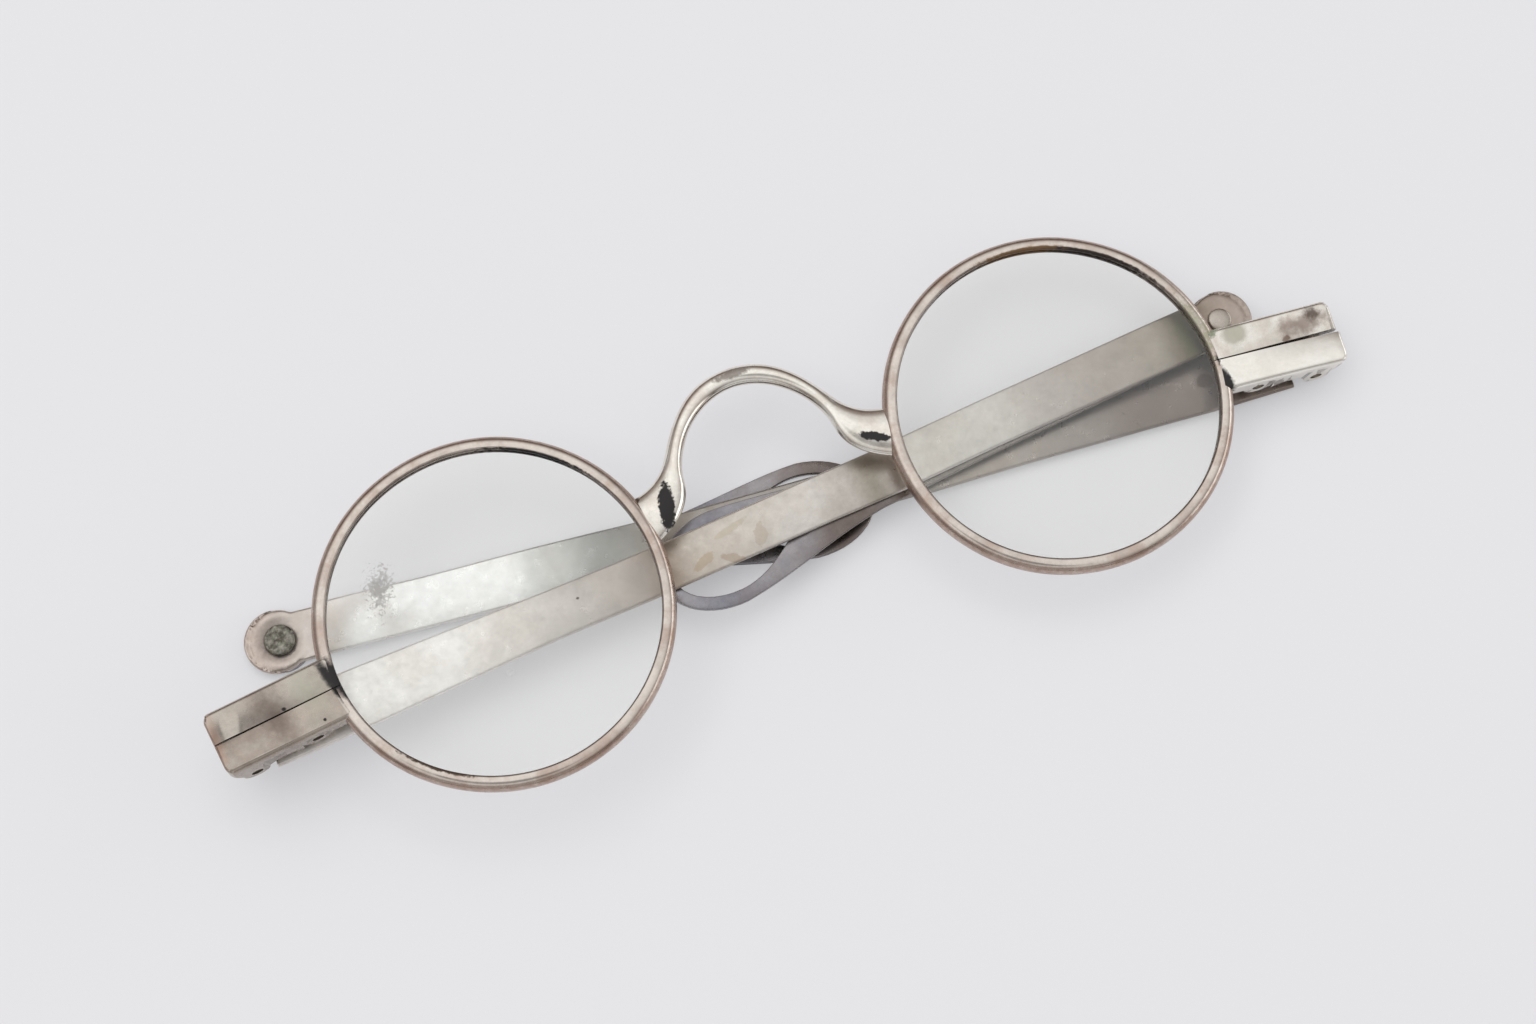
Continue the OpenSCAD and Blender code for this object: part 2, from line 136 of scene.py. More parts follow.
def add_node(tree: Tree, kind: str, inputs: Union[dict[Any, Any], Sequence[Any]] = (),
             hues: Hues = (), **settings: Any) -> Node:
    """Adds a node, sets its properties and joins or fills its inputs.

    Args:
        tree: The tree that gets the node.
        kind: The node's type name.
        inputs: What goes into the inputs, by name or number or else in order: a value, or a
            socket, or a node for its first output in use, or a list of these to join.
        hues: A colour ramp's places and hex colours, in order from 0 to 1.
        settings: The node's properties.

    Returns:
        The new node.
    """
    node = tree.nodes.new(kind)
    for name, value in settings.items():
        setattr(node, name, value)
    for key, given in inputs.items() if isinstance(inputs, dict) else enumerate(inputs):
        for item in given if isinstance(given, list) else [given]:
            if isinstance(item, Node):
                item = next(s for s in item.outputs if s.enabled)
            if isinstance(item, bpy.types.NodeSocket):
                tree.links.new(item, node.inputs[key])
            else:
                node.inputs[key].default_value = item
    if hues:
        node.color_ramp.interpolation = "EASE"
        stops = node.color_ramp.elements
    for i, (at, hue) in enumerate(hues):
        stop = stops[0] if i == 0 else (stops[-1] if i == len(hues) - 1 else stops.new(at))
        stop.position = at
        stop.color = linear(hue)
    return node


def empty_material(name: str) -> tuple[Material, Tree]:
    """Starts a material.

    Args:
        name: The material's name.

    Returns:
        The material and its tree, which holds no node yet.
    """
    material = bpy.data.materials.new(name)
    material.use_nodes = True
    material.node_tree.nodes.clear()
    return material, material.node_tree


def in_millimetres(tree: Tree) -> Node:
    """Adds object coordinates, which are the row frame's, in millimetres."""
    spot = add_node(tree, "ShaderNodeTexCoord").outputs["Object"]
    return add_node(tree, VECTOR, {0: spot, "Scale": 1 / MM}, operation="SCALE")


# ---------------------------------------------------------------- frames


@dataclass(frozen=True)
class Stance:
    """How the front lies over the surface, and where each side's endpiece points."""

    spacing: float = 55.8
    droop: float = 6.0
    lie: float = 2.4666
    height: float = 8.30563

    def front(self) -> Matrix:
        """Finds the front's own frame.

        Returns:
            The frame in the row frame, in millimetres.
        """
        droop = math.radians(self.droop)
        axis = Vector((math.sin(droop), math.cos(droop), 0))
        lean = Matrix.Rotation(math.radians(self.lie), 4, axis)
        return Matrix.Translation((0, 0, self.height)) @ lean

    def side(self, side: Side) -> Matrix:
        """A side's frame, with its origin at the lens centre and +X out along the endpiece.

        Args:
            side: Left or right.

        Returns:
            The frame as a matrix; the left one is a mirror image.
        """
        mirror = Matrix.Diagonal((side.value, 1, 1, 1))
        return (self.front() @ mirror @ Matrix.Translation((self.spacing / 2, 0, 0))
                @ Matrix.Rotation(-math.radians(self.droop), 4, "Z"))


STANCE = Stance()


# ---------------------------------------------------------------- finishes


@dataclass(frozen=True)
class Stain:
    """A patch of tarnish, verdigris or residue, with a ragged edge.

    The place is in the row frame; an arc patch is the part of a ring round an eye's centre that
    lies inside the patch. A ring has a radius and half a width. Besides tarnish, verdigris and
    residue, a few patches are painted shade and painted reflections.
    """

    place: Triple
    size: Triple
    colour: str
    turn: float = 0.0
    cover: float = 1.0
    ragged: float = 0.35
    soft: float = 0.25
    grain: float = 0.5
    shape: Shape = Shape.SPOT
    ring: Pair = (16.5, 0.6)
    metal: float = 0.6
    ring_ragged: float = 0.8
    ring_core: float = 0.55

    def mask(self, tree: Tree, where: Node) -> Node:
        """Draws the patch's cover.

        Args:
            tree: The material's tree.
            where: Millimetre coordinates in the row frame.

        Returns:
            A node that gives the patch's cover inside it and 0 outside.
        """
        shifted = add_node(tree, VECTOR, (where, self.place), operation="SUBTRACT")
        turned = add_node(tree, TURN, {"Vector": shifted, "Angle": -math.radians(self.turn)},
                          rotation_type="Z_AXIS")
        scaled = add_node(tree, VECTOR, (turned, self.size), operation="DIVIDE")
        far = add_node(tree, VECTOR, (scaled,), operation="LENGTH")
        speck = add_node(tree, NOISE, {"Vector": where, "Scale": 1 / self.grain, "Detail": 4.0,
                                       "Roughness": 0.65})
        torn = add_node(tree, MATHS, (speck, 2 * self.ragged, far), operation="MULTIPLY_ADD")
        outside = 1 + self.ragged
        inside = add_node(tree, REMAP, (torn, outside, outside - self.soft * 2, 0.0, self.cover),
                          **SMOOTH)
        if self.shape is Shape.SPOT:
            return inside
        radius, half = self.ring
        side = 1 if self.place[0] > 0 else -1
        hub = STANCE.front() @ Vector((side * STANCE.spacing / 2, 0, 0))
        radial = add_node(tree, VECTOR, (where, hub), operation="SUBTRACT")
        flat = add_node(tree, VECTOR, (radial, (1, 1, 0)), **TIMES)
        reach = add_node(tree, VECTOR, (flat,), operation="LENGTH")
        off = add_node(tree, MATHS, (reach, radius), operation="SUBTRACT")
        gap = add_node(tree, MATHS, (off,), operation="ABSOLUTE")
        spread = self.ring_ragged * self.ragged
        rough = add_node(tree, MATHS, (speck, 2 * half * spread, gap), operation="MULTIPLY_ADD")
        band = add_node(tree, REMAP, (rough, half * (1 + spread), half * (self.ring_core + spread),
                                      0.0, 1.0), **SMOOTH)
        return add_node(tree, MATHS, (band, inside), **TIMES)


@dataclass(frozen=True)
class CoinSilver:
    """Coin silver, hand-filed and worn for years.

    To the eye it is a soft satin metal: a greyish or pinkish veil of tarnish lies over it in
    clouds, the corners and joints are darkened by painted shade and tarnish, the edges that
    fingers rub are bright, a tone along the length of some pieces paints reflection and shade as
    well as tarnish, and fine file marks run along each piece. Sizes are in millimetres, the scales
    of patterns are per millimetre, and a span gives the two ends of a soft change.
    """

    name: str
    tone: str = "d4d0ca"
    warm: str = "b9a79b"
    cool: str = "bcbfb4"
    crevice: str = "2e2826"
    bare: str = "efebe6"
    roughness: float = 0.3
    rough_spread: Pair = (0.06, 0.1)
    rough_scale: float = 0.9
    stained_rough: float = 0.45
    dirty_metal: float = 0.4
    cloud: float = 5.0
    cloud_amount: float = 0.5
    cloud_shift: Triple = (31.0, 17.0, 5.0)
    warm_span: Pair = (0.42, 0.66)
    cool_span: Pair = (0.45, 0.7)
    cool_finer: float = 1.7
    mottle: float = 0.1
    mottle_scale: float = 1.9
    # Painted shade and tarnish in corners and joints: amount, reach, noise scale and span.
    dirt: float = 0.9
    dirt_reach: float = 0.6
    dirt_scale: float = 1.6
    dirt_span: Pair = (0.95, 0.45)
    rub: float = 0.35
    rub_width: float = 0.12
    rub_span: Pair = (0.995, 0.93)
    swell_scale: float = 0.22
    swell_depth: float = 0.03
    # Real file marks are about 0.1 mm apart, too fine to show; these are about 0.3 mm apart.
    file_marks: Triple = (0.25, 3.2, 2.0)
    file_depth: float = 0.0035
    pit_scale: float = 2.2
    pit: float = 0.003
    brush_turn: float = 0.0
    # The tone along the length: painted reflection and shade as well as tarnish.
    fade: Hues = ()
    stains: tuple[Stain, ...] = ()

    def build(self) -> Material:
        """Builds the material's nodes.

        Returns:
            The finished material.
        """
        material, tree = empty_material(self.name)
        where = in_millimetres(tree)
        along = add_node(tree, TURN, {"Vector": where, "Angle": -math.radians(self.brush_turn)},
                         rotation_type="Z_AXIS")
        colour = self._clouds(tree, where)
        # Painted reflection and shade, with tarnish, toned along the length.
        if self.fade:
            colour = self._fade(tree, along, colour)
        if self.rub:
            colour = self._rubbed(tree, colour)
        wander = add_node(tree, NOISE, {"Vector": where, "Scale": self.rough_scale, "Detail": 5.0,
                                        "Roughness": 0.6})
        rough = add_node(tree, REMAP, (wander, *NOISE_SPAN, self.roughness - self.rough_spread[0],
                                       self.roughness + self.rough_spread[1]))
        # Painted shade and tarnish: corners and joints turn dark and less metallic.
        shade = self._dirt(tree, where)
        metal = add_node(tree, REMAP, {"Value": shade, "To Min": 1.0, "To Max": self.dirty_metal})
        colour = add_node(tree, MIX, {"Factor": shade, "A": colour, "B": linear(self.crevice)},
                          **HUE)
        for coloured_patch in self.stains:
            cover = coloured_patch.mask(tree, where)
            colour = add_node(tree, MIX, {"Factor": cover, "A": colour, "B": linear(coloured_patch.colour)},
                              **HUE)
            metal = add_node(tree, MIX, {"Factor": cover, "A": metal, "B": coloured_patch.metal}, **AMOUNT)
            rough = add_node(tree, MIX, {"Factor": cover, "A": rough, "B": self.stained_rough},
                             **AMOUNT)
        shader = add_node(tree, "ShaderNodeBsdfPrincipled",
                          {"Base Color": colour, "Metallic": metal, "Roughness": rough,
                           "Normal": self._relief(tree, where, along)})
        add_node(tree, OUTPUT, (shader,))
        return material

    def _clouds(self, tree: Tree, where: Node) -> Node:
        """Mixes bare silver with warm and cool tarnish in soft clouds and a fine mottle.

        Args:
            tree: The material's tree.
            where: Millimetre coordinates.

        Returns:
            The colour.
        """
        first = add_node(tree, NOISE, {"Vector": where, "Scale": 1 / self.cloud, "Detail": 5.0,
                                       "Roughness": 0.6})
        warm_part = add_node(tree, REMAP, (first, *self.warm_span, 0.0, self.cloud_amount),
                             **SMOOTH)
        elsewhere = add_node(tree, VECTOR, (where, self.cloud_shift), operation="ADD")
        second = add_node(tree, NOISE, {"Vector": elsewhere, "Scale": self.cool_finer / self.cloud,
                                        "Detail": 5.0, "Roughness": 0.65})
        cool_part = add_node(tree, REMAP, (second, *self.cool_span, 0.0, self.cloud_amount),
                             **SMOOTH)
        mixed = add_node(tree, MIX, {"Factor": warm_part, "A": linear(self.tone),
                                     "B": linear(self.warm)}, **HUE)
        both = add_node(tree, MIX, {"Factor": cool_part, "A": mixed, "B": linear(self.cool)},
                        **HUE)
        grain = add_node(tree, NOISE, {"Vector": where, "Scale": self.mottle_scale, "Detail": 6.0,
                                       "Roughness": 0.75})
        level = add_node(tree, REMAP, (grain, *NOISE_SPAN, 1 - self.mottle * 1.5,
                                       1 + self.mottle * 0.5))
        return add_node(tree, VECTOR, {0: both, "Scale": level}, operation="SCALE")

    def _fade(self, tree: Tree, along: Node, colour: Node) -> Node:
        """Tones the silver along its length: painted reflection and shade as well as tarnish.

        Args:
            tree: The material's tree.
            along: Millimetre coordinates turned to the piece's length.
            colour: The colour so far.

        Returns:
            The toned colour.
        """
        first, last = self.fade[0][0], self.fade[-1][0]
        length = add_node(tree, SPLIT, (along,)).outputs["X"]
        share = add_node(tree, REMAP, (length, first, last))
        tint = add_node(tree, RAMP, (share,),
                        tuple(((x - first) / (last - first), hue) for x, hue in self.fade))
        return add_node(tree, MIX, {"Factor": 1.0, "A": colour, "B": tint}, blend_type="MULTIPLY",
                        **HUE)

    def _rubbed(self, tree: Tree, colour: Node) -> Node:
        """Brightens the edges that handling keeps clean.

        Args:
            tree: The material's tree.
            colour: The colour so far.

        Returns:
            The colour with bright edges.
        """
        bend = add_node(tree, "ShaderNodeBevel", {"Radius": self.rub_width * MM}, samples=4)
        flat = add_node(tree, "ShaderNodeNewGeometry").outputs["Normal"]
        same = add_node(tree, VECTOR, (bend, flat), operation="DOT_PRODUCT")
        edge = add_node(tree, REMAP, (same, *self.rub_span, 0.0, self.rub), **SMOOTH)
        return add_node(tree, MIX, {"Factor": edge, "A": colour, "B": linear(self.bare)}, **HUE)

    def _dirt(self, tree: Tree, where: Node) -> Node:
        """Paints shade and tarnish into the corners and joints, darkest where other surfaces come
        close.

        Args:
            tree: The material's tree.
            where: Millimetre coordinates.

        Returns:
            A node from 0 on open faces to the full amount in a corner.
        """
        corner = add_node(tree, "ShaderNodeAmbientOcclusion", {"Distance": self.dirt_reach * MM},
                          samples=12, only_local=False).outputs["AO"]
        shade_and_tarnish_noise = add_node(tree, NOISE, {"Vector": where, "Scale": self.dirt_scale, "Detail": 4.0,
                                       "Roughness": 0.7})
        deep = add_node(tree, MATHS, (shade_and_tarnish_noise, 0.5, corner), operation="MULTIPLY_ADD")
        return add_node(tree, REMAP, (deep, *self.dirt_span, 0.0, self.dirt), **SMOOTH)

    def _relief(self, tree: Tree, where: Node, along: Node) -> Node:
        """Makes the surface uneven: old planishing, filing marks and small pits.

        Args:
            tree: The material's tree.
            where: Millimetre coordinates.
            along: The same, turned to the piece's length.

        Returns:
            The normal.
        """
        swell = add_node(tree, NOISE, {"Vector": where, "Scale": self.swell_scale, "Detail": 1.0})
        stretched = add_node(tree, VECTOR, (along, self.file_marks), **TIMES)
        marks = add_node(tree, NOISE, {"Vector": stretched, "Scale": 1.0, "Detail": 1.0})
        pits = add_node(tree, NOISE, {"Vector": where, "Scale": self.pit_scale, "Detail": 2.0})
        under: dict[str, Node] = {}
        for height, depth in ((swell, self.swell_depth), (marks, self.file_depth),
                              (pits, self.pit)):
            under["Normal"] = add_node(tree, "ShaderNodeBump",
                                       {"Height": height, "Strength": 1.0, "Distance": depth * MM,
                                        **under})
        return under["Normal"]


@dataclass(frozen=True)
class LensGlass:
    """Old crown glass, ground and polished: clear, with a few scratches where it was rubbed."""

    name: str
    tint: str = "fcfdfb"
    shadow: str = "f9f9f9"
    ior: float = 1.52
    stained_clear: float = 0.35
    stained_rough: float = 0.5
    stains: tuple[Stain, ...] = ()

    def build(self) -> Material:
        """Builds the material's nodes.

        Returns:
            The finished material.
        """
        material, tree = empty_material(self.name)
        where = in_millimetres(tree)
        clear: Any = 1.0
        colour: Any = linear(self.tint)
        rough: Any = 0.0
        for coloured_patch in self.stains:
            cover = coloured_patch.mask(tree, where)
            clear = add_node(tree, MIX, {"Factor": cover, "A": clear, "B": self.stained_clear},
                             **AMOUNT)
            colour = add_node(tree, MIX, {"Factor": cover, "A": colour, "B": linear(coloured_patch.colour)},
                              **HUE)
            rough = add_node(tree, MIX, {"Factor": cover, "A": rough, "B": self.stained_rough},
                             **AMOUNT)
        shader = add_node(tree, "ShaderNodeBsdfPrincipled",
                          {"Base Color": colour, "Roughness": rough, "IOR": self.ior,
                           "Transmission Weight": clear})
        ray = add_node(tree, "ShaderNodeLightPath").outputs
        lit = add_node(tree, MATHS, (ray["Is Shadow Ray"], ray["Is Diffuse Ray"]),
                       operation="MAXIMUM")
        through = add_node(tree, "ShaderNodeBsdfTransparent", (linear(self.shadow),))
        both = add_node(tree, "ShaderNodeMixShader", (lit, shader, through))
        add_node(tree, OUTPUT, (both,))
        return material


# ---------------------------------------------------------------- mesh helpers


def hand_made(point: Vector, reach: float = 9.0, amount: float = 0.05,
              fade: Pair = (40.0, 45.0)) -> Vector:
    """Moves a point as the unevenness of hand work would, the same for neighbouring pieces.

    Args:
        point: A point in the row frame, in millimetres.
        reach: The distance over which the unevenness changes.
        amount: How far a point moves at most.
        fade: Where it fades out, on both sides, so that the hinges and turn pins stay clear.

    Returns:
        The moved point.
    """
    near = clamped((fade[1] - abs(point.x)) / (fade[1] - fade[0]))
    return point + noise.noise_vector(point / reach + Vector((3.1, 7.7, 1.9))) * amount * near


def new_piece(name: str, mesh: Mesh, material: Material, body: str, slot: Slot,
              *nodes: str) -> Piece:
    """Makes a finished piece of a mesh and ties it to its body.

    Args:
        name: The piece's name.
        mesh: Its mesh, in place in the row frame, in metres.
        material: Its finish.
        body: The body that it moves with.
        slot: The record's material slot; not used.
        nodes: The solids that it stands for.

    Returns:
        The piece.
    """
    mesh.materials.clear()
    mesh.materials.append(material)
    piece = bpy.data.objects.new(name, mesh)
    bpy.context.scene.collection.objects.link(piece)
    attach(piece, body)
    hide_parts(*nodes)
    LOG.info("%s: %d faces on %s", name, len(mesh.polygons), body)
    return piece


def settled(work: bmesh.types.BMesh, mesh: Mesh, sharp: float) -> Mesh:
    """Writes an edit mesh into a mesh and shades it smooth between its sharp edges.

    Args:
        work: The edit mesh, which is freed.
        mesh: The mesh that takes it.
        sharp: Edges that turn by more than this many degrees stay sharp.

    Returns:
        The same mesh.
    """
    work.to_mesh(mesh)
    work.free()
    for polygon in mesh.polygons:
        polygon.use_smooth = True
    mesh.set_sharp_from_angle(angle=math.radians(sharp))
    return mesh


def evaluated(name: str, mesh: Mesh, kind: str, prepare: Callable[[Any], None]) -> Mesh:
    """Runs one modifier on a mesh and gives the result as a plain mesh.

    Args:
        name: The name of the object that holds the mesh meanwhile.
        mesh: The mesh that it starts from.
        kind: The modifier's type.
        prepare: Sets the modifier before the object is first evaluated.

    Returns:
        The new mesh.
    """
    holder = bpy.data.objects.new(name + "_work", mesh)
    bpy.context.scene.collection.objects.link(holder)
    prepare(holder.modifiers.new(name, kind))
    view = bpy.context.evaluated_depsgraph_get()
    done = bpy.data.meshes.new_from_object(holder.evaluated_get(view))
    holder.modifiers.clear()
    bpy.data.objects.remove(holder)
    return done


def rounded_copy(node: str, edge: float, slices: float = 1.5, move: Optional[Mover] = None,
                 patch: Optional[Triple] = None, wear: Optional[Wear] = None) -> Mesh:
    """Copies a solid's mesh, rounds its sharp edges and gives it the unevenness of hand work.

    Args:
        node: The solid's node.
        edge: Width of the rounding.
        slices: Spacing of the cuts that let the flat faces follow the unevenness.
        move: Moves a point further, in millimetres in the row frame.
        patch: X, Y and reach of a place that is cut finely, for a shape that the mover gives it.
        wear: Gives the share of the rounding that the edge at a place gets, from 0 to 1.

    Returns:
        The new mesh, in metres.
    """
    sharp, flat = math.radians(32.0), math.radians(0.6)
    work = bmesh.new()
    work.from_mesh(frame["nodes"][node].data)
    bmesh.ops.remove_doubles(work, verts=work.verts, dist=1e-7)
    bmesh.ops.dissolve_limit(work, angle_limit=flat, verts=work.verts, edges=work.edges)
    weight = work.edges.layers.float.new("bevel_weight_edge")
    for side in work.edges:
        if side.calc_face_angle(0.0) > sharp:
            middle = (side.verts[0].co + side.verts[1].co) / 2 / MM
            side[weight] = wear(middle) if wear else 1.0
    mesh = bpy.data.meshes.new(node + "_mesh")
    work.to_mesh(mesh)
    work.free()

    def prepare(rounding: bpy.types.BevelModifier) -> None:
        """Rounds the weighted edges; worn ones may run into each other.

        Args:
            rounding: The new modifier.
        """
        rounding.width = edge * MM
        rounding.segments = 3
        rounding.limit_method = "WEIGHT"
        rounding.use_clamp_overlap = wear is None

    done = evaluated(node, mesh, "BEVEL", prepare)
    work = bmesh.new()
    work.from_mesh(done)
    cut_finely(work, slices, patch)
    for vertex in work.verts:
        point = vertex.co / MM
        vertex.co = hand_made(move(point) if move else point) * MM
    bmesh.ops.triangulate(work, faces=[f for f in work.faces if len(f.verts) > 4])
    return settled(work, done, 30)


def cut_finely(work: bmesh.types.BMesh, slices: float, patch: Optional[Triple],
               spacing: float = 0.25, margin: float = 1.5) -> None:
    """Cuts a mesh across its length, and one place of it both ways.

    Args:
        work: The edit mesh, in metres.
        slices: Spacing of the cuts along X.
        patch: X, Y and reach of the place that is cut finely.
        spacing: Spacing of the fine cuts.
        margin: How far past the place its cuts run.
    """
    low, high = (end(v.co.x for v in work.verts) / MM for end in (min, max))
    cut = low + slices
    while cut < high:
        bmesh.ops.bisect_plane(work, geom=work.verts[:] + work.edges[:] + work.faces[:], dist=1e-7,
                               plane_co=(cut * MM, 0, 0), plane_no=(1, 0.03, 0))
        cut += slices
    if not patch:
        return
    x, y, reach = patch
    count = int(reach / spacing)
    for step in range(-count, count + 1):
        for place, across in (((x + step * spacing, 0, 0), (1, 0, 0)),
                              ((0, y + step * spacing, 0), (0, 1, 0))):
            middles = [(f, f.calc_center_median() / MM) for f in work.faces]
            near = [f for f, m in middles if math.hypot(m.x - x, m.y - y) < reach + margin]
            edges = list({e for f in near for e in f.edges})
            verts = list({v for f in near for v in f.verts})
            bmesh.ops.bisect_plane(work, geom=verts + edges + near, dist=1e-7,
                                   plane_co=Vector(place) * MM, plane_no=across)


def lathe(name: str, section: Sequence[Pair], steps: int, place: Matrix) -> Mesh:
    """Turns a section round Z.

    Args:
        name: The mesh's name.
        section: Radius and height pairs from the axis below to the axis above.
        steps: Faces round the axis.
        place: The lathe's frame in the row frame, in millimetres.

    Returns:
        A closed mesh in metres, with outward faces.
    """
    work = bmesh.new()
    round_about = [math.tau * k / steps for k in range(steps)]
    rings = [[work.verts.new((radius * math.cos(a), radius * math.sin(a), height))
              for a in (round_about if radius > 1e-6 else [0.0])] for radius, height in section]
    for low, high in zip(rings, rings[1:]):
        for k in range(steps):
            loop = [low[k % len(low)], low[(k + 1) % len(low)],
                    high[(k + 1) % len(high)], high[k % len(high)]]
            work.faces.new(list(dict.fromkeys(loop)))
    for vertex in work.verts:
        vertex.co = (place @ vertex.co) * MM
    bmesh.ops.recalc_face_normals(work, faces=work.faces)
    return settled(work, bpy.data.meshes.new(name), 35)


def grown(name: str, base: Mesh, tree: Tree, values: dict[str, Any], place: Matrix) -> Mesh:
    """Runs a geometry tree on a mesh and keeps the result as a plain mesh.

    Args:
        name: The new mesh's name.
        base: The mesh that the tree starts from.
        tree: The geometry tree.
        values: Its inputs by name.
        place: The result's frame in the row frame; the tree works in millimetres.

    Returns:
        A closed mesh in metres, with outward faces.
    """

    def prepare(modifier: bpy.types.NodesModifier) -> None:
        """Sets each input by its socket's identifier.

        Args:
            modifier: The new modifier.
        """
        modifier.node_group = tree
        for item in tree.interface.items_tree:
            if item.in_out == "INPUT" and item.name in values:
                modifier[item.identifier] = values[item.name]

    mesh = evaluated(name, base, "NODES", prepare)
    mesh.name = name
    mesh.transform(Matrix.Scale(MM, 4) @ place)
    work = bmesh.new()
    work.from_mesh(mesh)
    bmesh.ops.remove_doubles(work, verts=work.verts, dist=1e-8)
    bmesh.ops.recalc_face_normals(work, faces=work.faces)
    for vertex in work.verts:
        vertex.co = hand_made(vertex.co / MM) * MM
    return settled(work, mesh, 40)


def geometry_tree(name: str, values: dict[str, Any]) -> tuple[Tree, Any]:
    """Starts a geometry tree with named inputs.

    Args:
        name: The tree's name.
        values: Input names and their default values.

    Returns:
        The tree, with its geometry sockets made, and the outputs of its Group Input node.
    """
    tree = bpy.data.node_groups.new(name, "GeometryNodeTree")
    for way in ("INPUT", "OUTPUT"):
        tree.interface.new_socket("Geometry", in_out=way, socket_type="NodeSocketGeometry")
    for label, value in values.items():
        socket = tree.interface.new_socket(label, in_out="INPUT",
                                           socket_type=SOCKET_KINDS[type(value)])
        if value is not None:
            socket.default_value = value
    return tree, add_node(tree, "NodeGroupInput").outputs


def end_tree(tree: Tree, shape: Node, material: bpy.types.NodeSocket) -> None:
    """Ends a geometry tree in real geometry that has a material.

    Args:
        tree: The geometry tree.
        shape: What it has made.
        material: The socket that gives the material.
    """
    real = add_node(tree, "GeometryNodeRealizeInstances", (shape,))
    dressed = add_node(tree, "GeometryNodeSetMaterial", {"Geometry": real, "Material": material})
    add_node(tree, "NodeGroupOutput", (dressed,))


# ---------------------------------------------------------------- eyes


@dataclass
class Eyes:
    """The two eye wires with their lenses."""

    outer: float = 16.5
    width: float = 1.35
    depth: float = 1.9
    outer_round: float = 0.8
    inner_round: float = 0.25
    groove: float = 0.4
    groove_bevel: float = 0.05
    lens_edge: float = 0.9
    lens_centre: float = 2.0
    lens_gap: float = 0.04
    lens_bevel: float = 0.12
    slit: float = 0.1
    steps: int = 360

    @property
    def middle(self) -> float:
        """The radius of the eye wire's middle line."""
        return self.outer - self.width / 2

    def sizes(self, material: Optional[Material] = None) -> dict[str, Any]:
        """The inputs of the eye wire's tree by name."""
        return {"Radius": self.middle, "Slit": self.slit, "Steps": self.steps, "Material": material}

    def section(self) -> list[Pair]:
        """The eye wire's section, as radius and height pairs in order.

        Returns:
            Points round the closed section.
        """
        inner = self.outer - self.width
        points: list[Pair] = []

        def corner(x: float, z: float, r: float, start: float, count: int) -> None:
            """Adds a quarter circle.

            Args:
                x: Its centre's radius.
                z: Its centre's height.
                r: Its own radius.
                start: Its first angle, in degrees.
                count: Its number of steps.
            """
            for k in range(count + 1):
                a = math.radians(start + 90 * k / count)
                points.append((x + r * math.cos(a), z + r * math.sin(a)))

        r, q, b = self.outer_round, self.inner_round, self.groove_bevel
        corner(self.outer - r, -self.depth + r, r, -90, 10)
        corner(self.outer - r, -r, r, 0, 10)
        corner(inner + q, -q, q, 90, 4)
        top, low = (-self.depth / 2 + end * (self.lens_edge / 2 + self.lens_gap) for end in (1, -1))
        bottom = inner + self.groove
        points += [(inner, top + b), (inner + b, top), (bottom, top),
                   (bottom, low), (inner + b, low), (inner, low - b)]
        corner(inner + q, -self.depth + q, q, 180, 4)
        return points

    def wire_tree(self) -> Tree:
        """Builds the tree that sweeps a section round an eye, open at the slit.

        Returns:
            The geometry tree.
        """
        tree, given = geometry_tree("eye_wire", self.sizes())
        slit = add_node(tree, MATHS, (given["Slit"], given["Radius"]), operation="DIVIDE")
        start = add_node(tree, MATHS, (slit, 0.5), **TIMES)
        sweep = add_node(tree, MATHS, (math.tau, slit), operation="SUBTRACT")
        path = add_node(tree, "GeometryNodeCurveArc",
                        {"Resolution": given["Steps"], "Radius": given["Radius"],
                         "Start Angle": start, "Sweep Angle": sweep}, mode="RADIUS")
        profile = add_node(tree, "GeometryNodeMeshToCurve", (given["Geometry"],))
        swept = add_node(tree, "GeometryNodeCurveToMesh",
                         {"Curve": path, "Profile Curve": profile, "Fill Caps": True})
        end_tree(tree, swept, given["Material"])
        return tree

    def wire(self, side: Side, tree: Tree, material: Material) -> Piece:
        """Builds one eye wire.

        Args:
            side: Left or right.
            tree: The eye wires' geometry tree.
            material: Its silver.

        Returns:
            The piece.
        """
        points = self.section()
        count = len(points)
        base = bpy.data.meshes.new("eye_section")
        base.from_pydata([(x - self.middle, -z, 0) for x, z in points],
                         [(i, (i + 1) % count) for i in range(count)], [])
        name = side.word + "_eye_wire"
        mesh = grown(name, base, tree, self.sizes(material), STANCE.side(side))
        return new_piece(name, mesh, material, "front", Slot.SILVER, side.word + "_rim")

    def lens(self, side: Side, material: Material, steps: int = 24) -> Piece:
        """Builds one lens, thicker at its centre.

        Args:
            side: Left or right.
            material: Its glass.
            steps: Rings from the centre to the edge.

        Returns:
            The piece.
        """
        radius = self.outer - self.width + self.groove - self.lens_gap
        bulge = (self.lens_centre - self.lens_edge) / 2
        bow = (radius**2 + bulge**2) / (2 * bulge)
        half, bevel = self.lens_edge / 2, self.lens_bevel
        front = [(x, half + math.sqrt(bow**2 - x * x) - bow + bulge)
                 for x in [(radius - bevel) * i / steps for i in range(steps + 1)]]
        outline = ([(x, -z) for x, z in front] + [(radius, -half + bevel), (radius, half - bevel)]
                   + front[::-1])
        place = STANCE.side(side) @ Matrix.Translation((0, 0, -self.depth / 2))
        name = side.word + "_lens_glass"
        return new_piece(name, lathe(name, outline, 180, place), material, "front", Slot.GLASS,
                         side.word + "_lens")

    def build(self, silver: dict[Side, Material], glass: dict[Side, Material]) -> None:
        """Builds both eyes.

        Args:
            silver: Each side's eye-wire silver.
            glass: Each side's lens glass.
        """
        tree = self.wire_tree()
        for side in Side:
            self.wire(side, tree, silver[side])
            self.lens(side, glass[side])


# ---------------------------------------------------------------- bridge


